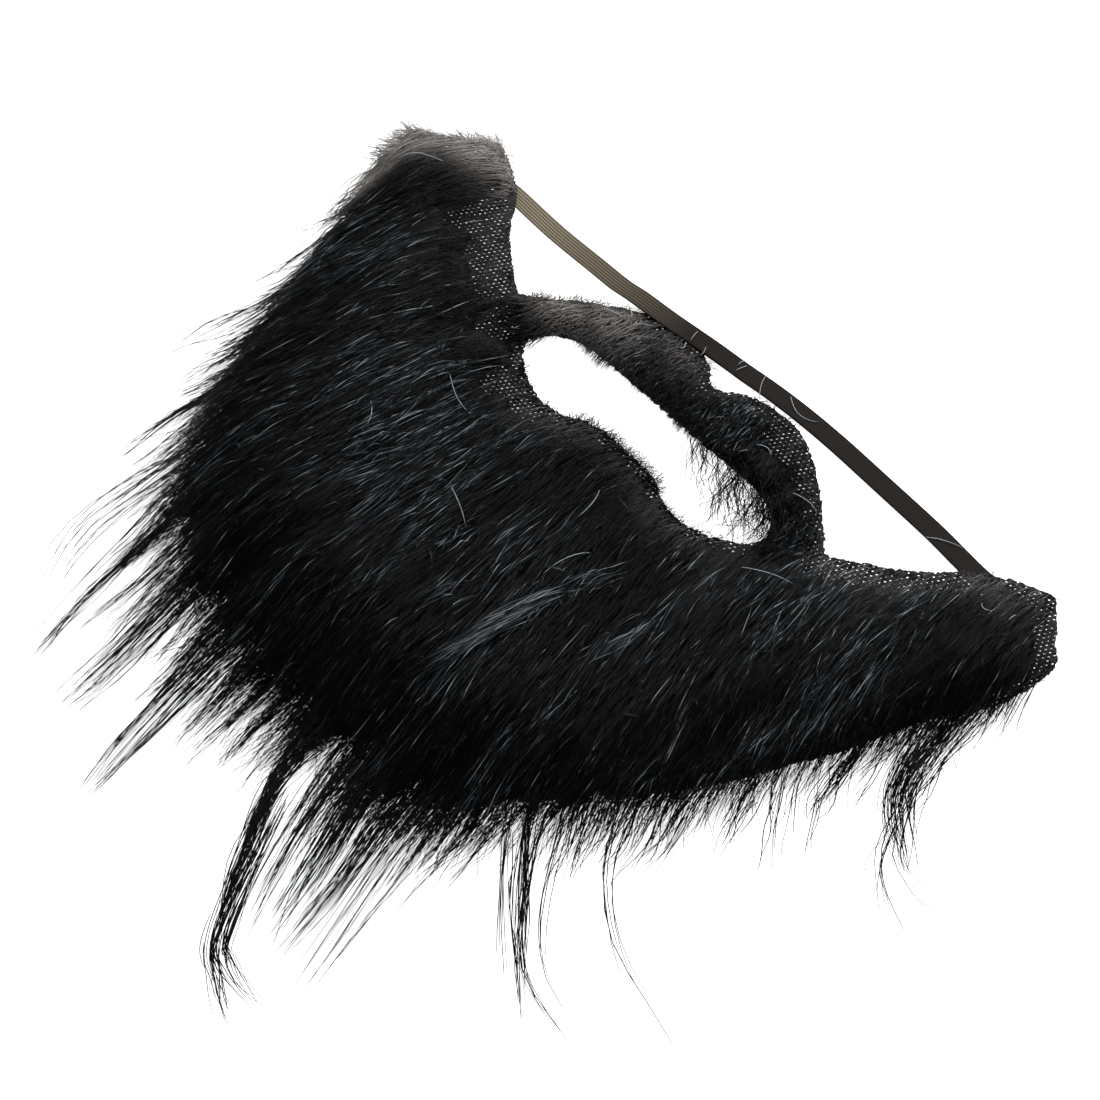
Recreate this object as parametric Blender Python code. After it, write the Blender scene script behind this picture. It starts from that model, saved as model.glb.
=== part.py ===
# Fake beard with moustache and sideburns, lying flat with the fur up.
# Long fur pile stands on a knitted backing cloth with a mouth hole. A flat elastic strap
# is sewn under the two sideburns and lies loose beyond the moustache.
# +X is the wearer's left, +Y is towards the nose, +Z is away from the face.
# The origin is on the face side of the cloth, in the middle of the chin.

import math

import bmesh
import bpy
import numpy as np
from mathutils import Vector

MM = 0.001

# Backing cloth
BEARD_WIDTH = 276 * MM        # across the two sideburn ends
SIDEBURN_RISE = 95 * MM       # origin to the top of the sideburn ends
CHIN_DROP = 55 * MM           # origin to the lower edge under the chin
MOUTH_WIDTH = 103 * MM
MOUTH_HEIGHT = 26 * MM
MOUTH_RISE = 47 * MM          # origin to the middle of the mouth hole
MOUSTACHE_HEIGHT = 25 * MM    # mouth hole to the top of a moustache lobe
CORNER_BRIDGE = 15.5 * MM     # cloth left between mouth corner and cheek notch
NOTCH_SHARE = 0.38            # height of the cheek notch above the mouth, of MOUTH_HEIGHT
CLOTH_THICKNESS = 1.2 * MM
LEFT_CURL = 6.5 * MM          # how far each sideburn end lifts off the surface
RIGHT_CURL = 3.0 * MM
CURL_RUN = 22 * MM            # length of sideburn that lifts
LIFT_RUN = 26 * MM            # distance over which the cloth climbs over the strap
SEAT_GAP = 0.3 * MM           # clearance between pieces that touch

# Fur pile
PILE_RIM = 1.6 * MM           # bare cloth left round the pile
BEARD_PILE = 12.5 * MM        # height of the lying fur in the middle of the cheeks
MOUSTACHE_PILE = 5.5 * MM
EDGE_PILE = 2.6 * MM          # height of the fur at its edges
PILE_SHOULDER = 26 * MM       # distance over which the pile gains its height
PILE_OVERHANG = 31 * MM       # how far the thick fur hangs past the chin of the cloth
DROOP_RUN = 18 * MM           # how far past its edge the fur sinks to the surface
HOVER = 0.1 * MM              # clearance of the hanging fur above the surface
LOCK_CLEAR = 0.35 * MM        # how far the underside of a lock stays above that of the pile
TUFT_LENGTH = 50 * MM         # locks on top of the pile
TUFT_WIDTH = 25 * MM
TUFT_DEPTH = 6.5 * MM
TUFT_ROW_PITCH = 23 * MM
TUFT_PITCH = 17 * MM
LIP_TUFT_LENGTH = 20 * MM     # short locks on the moustache
LIP_TUFT_WIDTH = 13 * MM
LIP_TUFT_DEPTH = 2.6 * MM
LIP_TUFT_PITCH = 11 * MM
FRINGE_LENGTH = 108 * MM      # longest lock of the lower fringe
FRINGE_WIDTH = 11 * MM
FRINGE_DEPTH = 4.2 * MM
TUFT_CLEAR = 0.3              # how far a tuft starts inside the fur, of its width
PITCH_SCATTER = 0.15          # how far a tuft strays from its row, of the pitch
LOCK_CREST = 0.35             # rise and sink of a lock about the fur, of its depth
LOCK_SINK = 0.5

# Elastic strap
STRAP_WIDTH = 6.8 * MM
STRAP_THICKNESS = 1.2 * MM
STRAP_RIB_DEPTH = 0.14 * MM
STRAP_RIBS = 5
STRAP_BOW = 5.0 * MM          # how far the slack strap strays from a straight line
STRAP_TUCK = 20 * MM          # length sewn under each sideburn
ANCHOR_ACROSS = 0.47          # place of the seam, of the way from notch to sideburn end
ANCHOR_UP = 0.73

# Fineness of the faceted surfaces
CELL = 12 * MM                # cloth and pile grid
END_CELL = 6 * MM             # finer grid in the curled sideburn ends
EDGE_STEP = 8 * MM            # spacing of the points along an outline
TUFT_POINTS = 5
LIP_TUFT_POINTS = 4
FRINGE_POINTS = 7

# Outline of the cloth from the nose notch round to the chin, for one half.
# Zone says which sizes the shares follow, corner marks a sharp turn.
EDGE_COLUMNS = ("zone", "across", "up", "corner")
EDGE_ROWS = [
    ("moustache", 0.00, 0.62, True),
    ("moustache", 0.13, 0.90, False),
    ("moustache", 0.30, 1.00, False),
    ("moustache", 0.50, 0.90, False),
    ("moustache", 0.74, 0.48, False),
    ("notch", 1.00, 0.00, True),
    ("cheek", 0.26, 0.32, False),
    ("cheek", 0.50, 0.78, False),
    ("cheek", 0.75, 1.00, True),
    ("cheek", 1.00, 0.47, True),
    ("side", 0.985, 0.60, False),
    ("side", 0.905, 0.41, False),
    ("side", 0.850, 0.17, False),
    ("side", 0.800, 0.00, False),
    ("chin", 0.725, 0.40, False),
    ("chin", 0.610, 0.73, False),
    ("chin", 0.400, 0.94, False),
    ("chin", 0.000, 1.00, False),
]

# Half of the mouth hole from the middle of its upper edge, in shares of its half width
# and half height.
MOUTH_COLUMNS = ("across", "up")
MOUTH_ROWS = [
    (0.00, 0.92),
    (0.40, 1.00),
    (0.78, 0.90),
    (0.94, 0.55),
    (1.00, 0.05),
    (0.93, -0.40),
    (0.79, -0.74),
    (0.60, -1.00),
    (0.42, -0.88),
    (0.27, -0.56),
    (0.00, -0.50),
]
MOUTH_CORNER_ROW = max(range(len(MOUTH_ROWS)), key=lambda row: MOUTH_ROWS[row][0])

# Course of the strap between the sideburns, in shares of half its span and of its bow.
# Over is 1 where it lies on top of a moustache lobe and 0 where it lies on the surface.
STRAP_COLUMNS = ("along", "bow", "over")
STRAP_ROWS = [
    (-1.00, 0.00, 0),
    (-0.80, -0.22, 0),
    (-0.60, -0.20, 0),
    (-0.50, -0.18, 0),
    (-0.41, -0.20, 1),
    (-0.29, -0.06, 1),
    (-0.19, 0.12, 1),
    (-0.09, 0.30, 1),
    (0.02, 0.66, 0),
    (0.12, 0.84, 0),
    (0.25, 0.94, 0),
    (0.40, 0.90, 0),
    (0.60, 0.68, 0),
    (0.80, 0.44, 0),
    (0.92, 0.20, 0),
    (1.00, 0.04, 0),
]

# Width of a lock from its root to its tip, in shares of its full width.
LOCK_COLUMNS = ("along", "width")
LOCK_ROWS = [
    (0.00, 0.50),
    (0.25, 0.72),
    (0.40, 0.75),
    (0.60, 0.67),
    (0.80, 0.46),
    (1.00, 0.12),
]

# Locks that hang past the cloth, from the left sideburn round to the right one.
# Root is a share of the half width and of the rise or drop, reach a share of the fringe
# length, heading is the angle from straight down, sweep how far it turns on the way.
FRINGE_COLUMNS = ("across", "up", "reach", "heading", "sweep", "width")
FRINGE_ROWS = [
    (-0.92, 0.53, 0.24, -2, 0, 0.60),
    (-0.80, 0.25, 0.35, -4, 0, 0.75),
    (-0.75, 0.08, 0.39, 1, 2, 0.80),
    (-0.67, -0.18, 0.52, -2, -1, 0.80),
    (-0.60, -0.45, 0.93, -5, 24, 0.80),
    (-0.51, -0.69, 0.87, 3, 14, 0.85),
    (-0.43, -0.80, 0.52, 4, 2, 0.90),
    (-0.35, -0.82, 0.87, 5, 8, 1.10),
    (-0.28, -0.87, 0.67, 2, 3, 1.00),
    (-0.20, -0.87, 0.57, 2, 3, 1.00),
    (-0.16, -0.87, 0.94, 4, 10, 1.00),
    (-0.09, -0.87, 0.70, 5, 2, 1.00),
    (0.00, -0.87, 0.67, 3, 6, 1.10),
    (0.08, -0.87, 0.52, 2, 2, 1.00),
    (0.09, -0.87, 1.00, 5, 42, 1.40),
    (0.23, -0.87, 0.96, 7, 16, 1.10),
    (0.30, -0.87, 0.78, 6, 8, 1.00),
    (0.36, -0.76, 0.94, 8, 16, 1.00),
    (0.43, -0.69, 0.54, 8, 0, 0.95),
    (0.46, -0.58, 0.87, 20, 40, 0.90),
    (0.57, -0.40, 0.43, 22, 12, 0.85),
    (0.64, -0.22, 0.44, 12, 4, 0.85),
    (0.71, 0.04, 0.44, 20, 12, 0.80),
    (0.75, 0.15, 0.39, 32, 14, 0.65),
    (0.80, 0.32, 0.41, 20, 6, 0.70),
    (0.83, 0.44, 0.35, 15, 4, 0.70),
    (0.89, 0.54, 0.58, 12, 52, 0.85),
    (0.94, 0.61, 0.37, 17, 5, 0.70),
]


def clear_scene():
    for item in list(bpy.data.objects):
        bpy.data.objects.remove(item, do_unlink=True)


def new_collection(name):
    group = bpy.data.collections.new(name)
    bpy.context.scene.collection.children.link(group)
    return group


def make_material(name, colour, roughness, metallic=0.0):
    material = bpy.data.materials.new(name)
    material.use_nodes = True
    shader = material.node_tree.nodes["Principled BSDF"]
    shader.inputs["Base Color"].default_value = (*colour, 1.0)
    shader.inputs["Roughness"].default_value = roughness
    shader.inputs["Metallic"].default_value = metallic
    material.diffuse_color = (*colour, 1.0)
    return material


def smooth(share):
    share = min(max(share, 0.0), 1.0)
    return share * share * (3 - 2 * share)


# Sizes that follow from the driving ones
HALF_WIDTH = BEARD_WIDTH / 2
MOUTH_TOP = MOUTH_RISE + MOUTH_HEIGHT / 2
NOTCH_X = MOUTH_WIDTH / 2 + CORNER_BRIDGE
NOTCH_Y = MOUTH_RISE + NOTCH_SHARE * MOUTH_HEIGHT
ANCHOR_X = NOTCH_X + ANCHOR_ACROSS * (HALF_WIDTH - NOTCH_X)
ANCHOR_Y = NOTCH_Y + ANCHOR_UP * (SIDEBURN_RISE - NOTCH_Y)
LIFT_END = ANCHOR_Y - STRAP_WIDTH / 2 - CELL


def edge_point(zone, across, up):
    if zone == "moustache":
        return Vector((across * NOTCH_X, MOUTH_TOP + up * MOUSTACHE_HEIGHT))
    if zone == "notch":
        return Vector((NOTCH_X, NOTCH_Y))
    if zone == "cheek":
        rise = SIDEBURN_RISE - NOTCH_Y
        return Vector((NOTCH_X + across * (HALF_WIDTH - NOTCH_X), NOTCH_Y + up * rise))
    if zone == "side":
        return Vector((across * HALF_WIDTH, up * SIDEBURN_RISE))
    return Vector((across * HALF_WIDTH, -up * CHIN_DROP))


def mouth_point(across, up):
    return Vector((across * MOUTH_WIDTH / 2, MOUTH_RISE + up * MOUTH_HEIGHT / 2))


def fur_edge_half():
    """Outer edge of the thick fur, which hangs past the cloth under the chin."""
    half = []
    for (zone, across, up, corner), (point, _) in zip(EDGE_ROWS, EDGE_HALF):
        overhang = PILE_OVERHANG * up ** 3 if zone == "chin" else 0.0
        half.append((point - Vector((0, overhang)), corner))
    return half


def both_halves(half):
    """Closed control loop from a half that starts and ends on the middle line."""
    mirrored = [(Vector((-point.x, point.y)), corner) for point, corner in half[1:-1]]
    return half + mirrored[::-1]


def signed_area(points):
    ahead = points[1:] + points[:1]
    return sum(a.x * b.y - b.x * a.y for a, b in zip(points, ahead)) / 2


def inset_loop(loop, distance):
    """Moves each control point inwards so that both its edges move by the distance."""
    points = [point for point, corner in loop]
    turn = 1 if signed_area(points) > 0 else -1
    moved = []
    for index, (point, corner) in enumerate(loop):
        before = (point - points[index - 1]).normalized()
        after = (points[(index + 1) % len(points)] - point).normalized()
        left_before = Vector((-before.y, before.x)) * turn
        left_after = Vector((-after.y, after.x)) * turn
        middle = (left_before + left_after).normalized()
        reach = distance / max(middle.dot(left_after), 0.5)
        moved.append((point + middle * reach, corner))
    return moved


def sample_loop(loop, step):
    """Points along a smooth closed line through the control points, sharp at corners."""
    samples = []
    count = len(loop)
    for index in range(count):
        start, start_corner = loop[index]
        end, end_corner = loop[(index + 1) % count]
        span = end - start
        into = span if start_corner else (end - loop[index - 1][0]) / 2
        out = span if end_corner else (loop[(index + 2) % count][0] - start) / 2
        pieces = max(1, round(span.length / step))
        for piece in range(pieces):
            t = piece / pieces
            point = start * (2 * t**3 - 3 * t**2 + 1) + end * (3 * t**2 - 2 * t**3)
            point = point + into * (t**3 - 2 * t**2 + t) + out * (t**3 - t**2)
            samples.append(point)
    return samples


def clear_of_strap(line):
    """Line lowered where it would reach the strap that lies over a moustache lobe."""
    spots = [along * ANCHOR_X for along, bow, over in STRAP_ROWS]
    middles = [ANCHOR_Y + bow * STRAP_BOW for along, bow, over in STRAP_ROWS]
    margin = STRAP_WIDTH / 2 + 2 * SEAT_GAP
    return [Vector((p.x, min(p.y, np.interp(p.x, spots, middles) - margin))) for p in line]


EDGE_HALF = [(edge_point(zone, across, up), corner) for zone, across, up, corner in EDGE_ROWS]
MOUTH_HALF = [(mouth_point(across, up), False) for across, up in MOUTH_ROWS]
NOTCH_ROW = [row[0] for row in EDGE_ROWS].index("notch")
CLOTH_LOOP = both_halves(EDGE_HALF)
MOUTH_LOOP = both_halves(MOUTH_HALF)
CLOTH_LINE = sample_loop(CLOTH_LOOP, EDGE_STEP)
MOUTH_LINE = sample_loop(MOUTH_LOOP, EDGE_STEP)

MOUTH_CORNER = (MOUTH_HALF[MOUTH_CORNER_ROW][0], True)
LIP_HALF = EDGE_HALF[: NOTCH_ROW + 1] + [MOUTH_CORNER] + MOUTH_HALF[:MOUTH_CORNER_ROW][::-1]
CHIN_HALF = MOUTH_HALF[MOUTH_CORNER_ROW + 1:][::-1] + [MOUTH_CORNER] + fur_edge_half()[NOTCH_ROW:]
LIP_LINE = clear_of_strap(sample_loop(inset_loop(both_halves(LIP_HALF), PILE_RIM), EDGE_STEP))
CHIN_LINE = sample_loop(inset_loop(both_halves(CHIN_HALF), PILE_RIM), EDGE_STEP)


def depth_inside(line, x, y):
    """Distance from a point to a closed line, positive inside it."""
    starts = np.array([point[:] for point in line])
    ends = np.roll(starts, -1, axis=0)
    spans = ends - starts
    offsets = np.array((x, y)) - starts
    shares = np.clip((offsets * spans).sum(1) / (spans * spans).sum(1), 0, 1)
    nearest = np.hypot(*(offsets - spans * shares[:, None]).T).min()
    crosses = (starts[:, 1] > y) != (ends[:, 1] > y)
    rise = np.where(crosses, spans[:, 1], 1.0)
    hits = crosses & (x < starts[:, 0] + spans[:, 0] * (y - starts[:, 1]) / rise)
    return nearest if hits.sum() % 2 else -nearest


def lying_height(x, y):
    """Height of the face side of the cloth where it lies over the sewn strap and curls."""
    towards_end = smooth((abs(x) - NOTCH_X + CELL) / LIFT_RUN)
    upwards = smooth((y - LIFT_END + LIFT_RUN) / LIFT_RUN)
    over_strap = (STRAP_THICKNESS + SEAT_GAP) * towards_end * upwards
    curl = LEFT_CURL if x < 0 else RIGHT_CURL
    share = max(0.0, (abs(x) - HALF_WIDTH + CURL_RUN) / CURL_RUN)
    return over_strap + curl * share * share


def pile_height(line, full, x, y):
    """Height of the fur above its backing, low at the edges and full further in."""
    depth = depth_inside(line, x, y)
    shoulder = math.sin(math.pi / 2 * min(max(depth / PILE_SHOULDER, 0.0), 1.0))
    return EDGE_PILE + (full - EDGE_PILE) * shoulder


def level(x, y, half_width=0.0):
    """Height that clears the cloth, and that falls to the surface past its edge."""
    past = -depth_inside(CLOTH_LINE, x, y) - half_width - CELL / 2
    clear = lying_height(x, y) + CLOTH_THICKNESS + SEAT_GAP
    return HOVER + (clear - HOVER) * (1 - smooth(past / DROOP_RUN))


def fur_surface(line, full, x, y):
    """Top of the fur, which sinks to the surface past its own edge."""
    past = max(0.0, -depth_inside(line, x, y))
    top = level(x, y) + pile_height(line, full, x, y)
    return top * (1 - smooth(past / DROOP_RUN))


def solid_from_curve(curve_object, name):
    """Turns a curve object into a closed mesh object at the same place."""
    bpy.context.view_layer.update()
    evaluated = curve_object.evaluated_get(bpy.context.evaluated_depsgraph_get())
    mesh = bpy.data.meshes.new_from_object(evaluated)
    weld = bmesh.new()
    weld.from_mesh(mesh)
    bmesh.ops.remove_doubles(weld, verts=weld.verts, dist=0.00001)
    bmesh.ops.recalc_face_normals(weld, faces=weld.faces)
    weld.to_mesh(mesh)
    weld.free()
    solid = bpy.data.objects.new(name, mesh)
    solid.matrix_world = curve_object.matrix_world.copy()
    bpy.data.objects.remove(curve_object, do_unlink=True)
    return solid


def outline_cutter(name, lines, height, group):
    """Upright prism with the outline of the lines, the second line being a hole."""
    curve = bpy.data.curves.new(name, "CURVE")
    curve.dimensions = "2D"
    curve.fill_mode = "BOTH"
    curve.extrude = height
    for line in lines:
        spline = curve.splines.new("POLY")
        spline.points.add(len(line) - 1)
        for point, place in zip(spline.points, line):
            point.co = (place.x, place.y, 0, 1)
        spline.use_cyclic_u = True
    curve_object = bpy.data.objects.new(name, curve)
    bpy.context.scene.collection.objects.link(curve_object)
    cutter = solid_from_curve(curve_object, name)
    group.objects.link(cutter)
    cutter.hide_render = True
    cutter.display_type = "WIRE"
    return cutter


def grid_lines(low, high, fine_beyond):
    """Grid positions from the middle outwards, closer together past a distance."""
    lines = [0.0]
    while lines[-1] < high:
        lines.append(lines[-1] + (END_CELL if lines[-1] >= fine_beyond else CELL))
    below = [0.0]
    while below[-1] > low:
        below.append(below[-1] - (END_CELL if -below[-1] >= fine_beyond else CELL))
    return below[:0:-1] + lines


def grid_slab(name, group):
    """Flat slab divided by the grid, two units thick, that outlines are cut from."""
    margin = CELL
    across = grid_lines(-HALF_WIDTH - margin, HALF_WIDTH + margin, HALF_WIDTH - CURL_RUN - CELL)
    lowest = -CHIN_DROP - PILE_OVERHANG - margin
    up = grid_lines(lowest, SIDEBURN_RISE + margin, BEARD_WIDTH)
    slab = bmesh.new()
    bmesh.ops.create_grid(slab, x_segments=len(across) - 1, y_segments=len(up) - 1, size=1)
    for vertex in slab.verts:
        column = (vertex.co.x + 1) / 2 * (len(across) - 1)
        row = (vertex.co.y + 1) / 2 * (len(up) - 1)
        vertex.co = (across[round(column)], up[round(row)], -MM)
    lower = list(slab.faces)
    raised = bmesh.ops.extrude_face_region(slab, geom=lower, use_keep_orig=True)
    for item in raised["geom"]:
        if isinstance(item, bmesh.types.BMVert):
            item.co.z = MM
    bmesh.ops.recalc_face_normals(slab, faces=slab.faces)
    mesh = bpy.data.meshes.new(name)
    slab.to_mesh(mesh)
    slab.free()
    solid = bpy.data.objects.new(name, mesh)
    group.objects.link(solid)
    return solid


def apply_modifiers(solid):
    """Bakes an object's modifiers into its mesh."""
    bpy.context.view_layer.update()
    evaluated = solid.evaluated_get(bpy.context.evaluated_depsgraph_get())
    mesh = bpy.data.meshes.new_from_object(evaluated)
    solid.modifiers.clear()
    solid.data = mesh


def sheet(name, lines, bottom, top, parts, cutters):
    """Sheet with an outline, from one height rule on its lower side to another above."""
    solid = grid_slab(name, parts)
    trim = solid.modifiers.new("Outline", "BOOLEAN")
    trim.operation = "INTERSECT"
    trim.solver = "EXACT"
    trim.object = outline_cutter(name + "_outline", lines, 3 * MM, cutters)
    apply_modifiers(solid)
    shape = bmesh.new()
    shape.from_mesh(solid.data)
    bmesh.ops.triangulate(shape, faces=shape.faces, quad_method="SHORT_EDGE")
    for vertex in shape.verts:
        rule = top if vertex.co.z > 0 else bottom
        vertex.co.z = rule(vertex.co.x, vertex.co.y)
    shape.to_mesh(solid.data)
    shape.free()
    return solid


def oval_profile(name, half_width, half_depth, sides, cutters):
    """Cross-section for a lock, wider than it is deep."""
    curve = bpy.data.curves.new(name, "CURVE")
    curve.dimensions = "2D"
    spline = curve.splines.new("POLY")
    spline.points.add(sides - 1)
    for index, point in enumerate(spline.points):
        angle = 2 * math.pi * index / sides
        point.co = (half_width * math.cos(angle), half_depth * math.sin(angle), 0, 1)
    spline.use_cyclic_u = True
    profile = bpy.data.objects.new(name, curve)
    cutters.objects.link(profile)
    profile.hide_render = True
    profile.display_type = "WIRE"
    return profile


def ribbon(name, path, radii, profile):
    """Solid swept along a path with a cross-section that keeps its broad side up."""
    curve = bpy.data.curves.new(name, "CURVE")
    curve.dimensions = "3D"
    curve.twist_mode = "Z_UP"
    curve.bevel_mode = "OBJECT"
    curve.bevel_object = profile
    curve.use_fill_caps = True
    spline = curve.splines.new("POLY")
    spline.points.add(len(path) - 1)
    for point, place, radius in zip(spline.points, path, radii):
        point.co = (*place, 1)
        point.radius = radius
    course = bpy.data.objects.new(name + "_course", curve)
    bpy.context.scene.collection.objects.link(course)
    return solid_from_curve(course, name)


def lock(name, root, heading, sweep, length, width, profile, depth, fur, points, lift):
    """Lock of hair that follows the fur from its root and thins out to its tip."""
    path = []
    radii = []
    x, y = root
    for index in range(points):
        t = index / (points - 1)
        radius = width * np.interp(t, *zip(*LOCK_ROWS))
        half_width = radius * profile.dimensions.x / 2
        rise = depth * (LOCK_CREST * lift * math.sin(math.pi * t) - LOCK_SINK * (1 - t) ** 2)
        low = level(x, y, half_width) + radius * depth / 2 + LOCK_CLEAR
        path.append((x, y, max(fur(x, y) + rise, low)))
        radii.append(radius)
        angle = math.radians(heading + sweep * t)
        x += math.sin(angle) * length / (points - 1)
        y -= math.cos(angle) * length / (points - 1)
    return ribbon(name, path, radii, profile)


def fill_pockets(solid):
    """Removes the small closed hollows that stay between locks, leaving the outer skin."""
    shape = bmesh.new()
    shape.from_mesh(solid.data)
    skins = []
    waiting = set(shape.verts)
    while waiting:
        skin = set()
        edge_of_skin = [waiting.pop()]
        while edge_of_skin:
            vertex = edge_of_skin.pop()
            skin.add(vertex)
            for edge in vertex.link_edges:
                other = edge.other_vert(vertex)
                if other in waiting:
                    waiting.remove(other)
                    edge_of_skin.append(other)
        skins.append(skin)
    outer = max(skins, key=lambda skin: max(v.co.x for v in skin) - min(v.co.x for v in skin))
    inner = [vertex for skin in skins if skin is not outer for vertex in skin]
    bmesh.ops.delete(shape, geom=inner, context="VERTS")
    shape.to_mesh(solid.data)
    shape.free()


def fuse(solid, extras, cutters, name):
    """Unites a pad with its locks in one body."""
    group = bpy.data.collections.new(name)
    cutters.children.link(group)
    for extra in extras:
        group.objects.link(extra)
        extra.hide_render = True
        extra.display_type = "WIRE"
    union = solid.modifiers.new("Locks", "BOOLEAN")
    union.operation = "UNION"
    union.solver = "EXACT"
    union.operand_type = "COLLECTION"
    union.collection = group
    apply_modifiers(solid)
    fill_pockets(solid)


def scatter(index, spread):
    """Repeatable offset that differs from one lock to the next."""
    return spread * math.sin(index * 2.399 + 0.7) * math.cos(index * 1.131)


def backing_cloth(parts, cutters, material):
    lines = (CLOTH_LINE, MOUTH_LINE)
    cloth = sheet(
        "backing_cloth", lines, lying_height,
        lambda x, y: lying_height(x, y) + CLOTH_THICKNESS, parts, cutters,
    )
    cloth.data.materials.append(material)
    return cloth


def beard_pile(parts, cutters, material):
    def surface(x, y):
        return fur_surface(CHIN_LINE, BEARD_PILE, x, y)

    pad = sheet(
        "beard_pile", (CHIN_LINE,), level,
        lambda x, y: level(x, y) + pile_height(CHIN_LINE, BEARD_PILE, x, y), parts, cutters,
    )
    locks = []
    tuft = oval_profile("tuft_profile", TUFT_WIDTH / 2, TUFT_DEPTH / 2, 6, cutters)
    bpy.context.view_layer.update()
    rows = int((SIDEBURN_RISE + CHIN_DROP) / TUFT_ROW_PITCH)
    for row in range(rows):
        y = SIDEBURN_RISE - TUFT_ROW_PITCH * (row + 0.75)
        columns = int(HALF_WIDTH / TUFT_PITCH)
        for column in range(-columns, columns + 1):
            index = row * 40 + column
            stray = scatter(index, PITCH_SCATTER * TUFT_PITCH)
            x = (column + 0.5 * (row % 2)) * TUFT_PITCH + stray
            if depth_inside(CHIN_LINE, x, y) < TUFT_CLEAR * TUFT_WIDTH:
                continue
            locks.append(lock(
                "tuft", (x, y), 3 + scatter(index + 5, 6), 4, TUFT_LENGTH, 1.0, tuft,
                TUFT_DEPTH, surface, TUFT_POINTS, 1.0,
            ))
    hanging = oval_profile("lock_profile", FRINGE_WIDTH / 2, FRINGE_DEPTH / 2, 6, cutters)
    bpy.context.view_layer.update()
    for across, up, reach, heading, sweep, width in FRINGE_ROWS:
        root = (across * HALF_WIDTH, up * (SIDEBURN_RISE if up > 0 else CHIN_DROP))
        locks.append(lock(
            "lock", root, heading, sweep, reach * FRINGE_LENGTH, width, hanging,
            FRINGE_DEPTH, surface, FRINGE_POINTS, 0.6,
        ))
    fuse(pad, locks, cutters, "beard_locks")
    pad.data.materials.clear()
    pad.data.materials.append(material)
    return pad


def moustache_pile(parts, cutters, material):
    def surface(x, y):
        return fur_surface(LIP_LINE, MOUSTACHE_PILE, x, y)

    pad = sheet(
        "moustache_pile", (LIP_LINE,), level,
        lambda x, y: level(x, y) + pile_height(LIP_LINE, MOUSTACHE_PILE, x, y), parts, cutters,
    )
    locks = []
    tuft = oval_profile("lip_tuft_profile", LIP_TUFT_WIDTH / 2, LIP_TUFT_DEPTH / 2, 6, cutters)
    bpy.context.view_layer.update()
    count = int(NOTCH_X / LIP_TUFT_PITCH)
    for column in range(-count, count + 1):
        x = column * LIP_TUFT_PITCH + scatter(column + 3, PITCH_SCATTER * LIP_TUFT_PITCH)
        y = MOUTH_TOP + LIP_TUFT_LENGTH * (0.62 - 0.55 * (x / NOTCH_X) ** 2)
        if depth_inside(LIP_LINE, x, y) > TUFT_CLEAR * LIP_TUFT_WIDTH:
            locks.append(lock(
                "lip_tuft", (x, y), 4 + scatter(column, 8), 6, 0.7 * LIP_TUFT_LENGTH, 1.0,
                tuft, LIP_TUFT_DEPTH, surface, LIP_TUFT_POINTS, 1.0,
            ))
    fuse(pad, locks, cutters, "lip_locks")
    pad.data.materials.clear()
    pad.data.materials.append(material)
    return pad


def strap_profile(cutters):
    """Flat band section with rounded edges and ribs along both faces."""
    curve = bpy.data.curves.new("strap_profile", "CURVE")
    curve.dimensions = "2D"
    steps = 2 * STRAP_RIBS
    upper = []
    for index in range(steps + 1):
        across = -1 + 2 * index / steps
        valley = STRAP_RIB_DEPTH if index % 2 == 0 else 0.0
        round_off = 0.6 if index in (0, steps) else 1.0
        upper.append((across * STRAP_WIDTH / 2, (STRAP_THICKNESS / 2 - valley) * round_off))
    lower = [(x, -y) for x, y in upper[::-1]]
    outline = upper + lower
    spline = curve.splines.new("POLY")
    spline.points.add(len(outline) - 1)
    for point, (x, y) in zip(spline.points, outline):
        point.co = (x, y, 0, 1)
    spline.use_cyclic_u = True
    profile = bpy.data.objects.new("strap_profile", curve)
    cutters.objects.link(profile)
    profile.hide_render = True
    profile.display_type = "WIRE"
    return profile


def elastic_strap(parts, cutters, material):
    path = []
    for along, bow, over in STRAP_ROWS:
        height = STRAP_THICKNESS / 2 + over * (CLOTH_THICKNESS + SEAT_GAP)
        path.append((along * ANCHOR_X, ANCHOR_Y + bow * STRAP_BOW, height))
    for share in (0.5, 1.0):
        reach = ANCHOR_X + share * STRAP_TUCK
        path.insert(0, (-reach, ANCHOR_Y, STRAP_THICKNESS / 2))
        path.append((reach, ANCHOR_Y, STRAP_THICKNESS / 2))
    strap = ribbon("elastic_strap", path, [1.0] * len(path), strap_profile(cutters))
    parts.objects.link(strap)
    strap.data.materials.clear()
    strap.data.materials.append(material)
    return strap


def main():
    clear_scene()
    parts = new_collection("fake_beard")
    cutters = new_collection("cutters")
    knit = make_material("knitted_backing", (0.012, 0.012, 0.014), 0.9)
    fur = make_material("fur_pile", (0.006, 0.007, 0.009), 0.55)
    elastic = make_material("braided_elastic", (0.035, 0.028, 0.024), 0.7)
    pieces = [
        backing_cloth(parts, cutters, knit),
        beard_pile(parts, cutters, fur),
        moustache_pile(parts, cutters, fur),
        elastic_strap(parts, cutters, elastic),
    ]
    for piece in pieces:
        print(piece.name, len(piece.data.vertices), "points")


main()
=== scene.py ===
import math

import bpy
import numpy as np
from mathutils import Matrix, Vector
from mathutils.bvhtree import BVHTree


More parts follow.
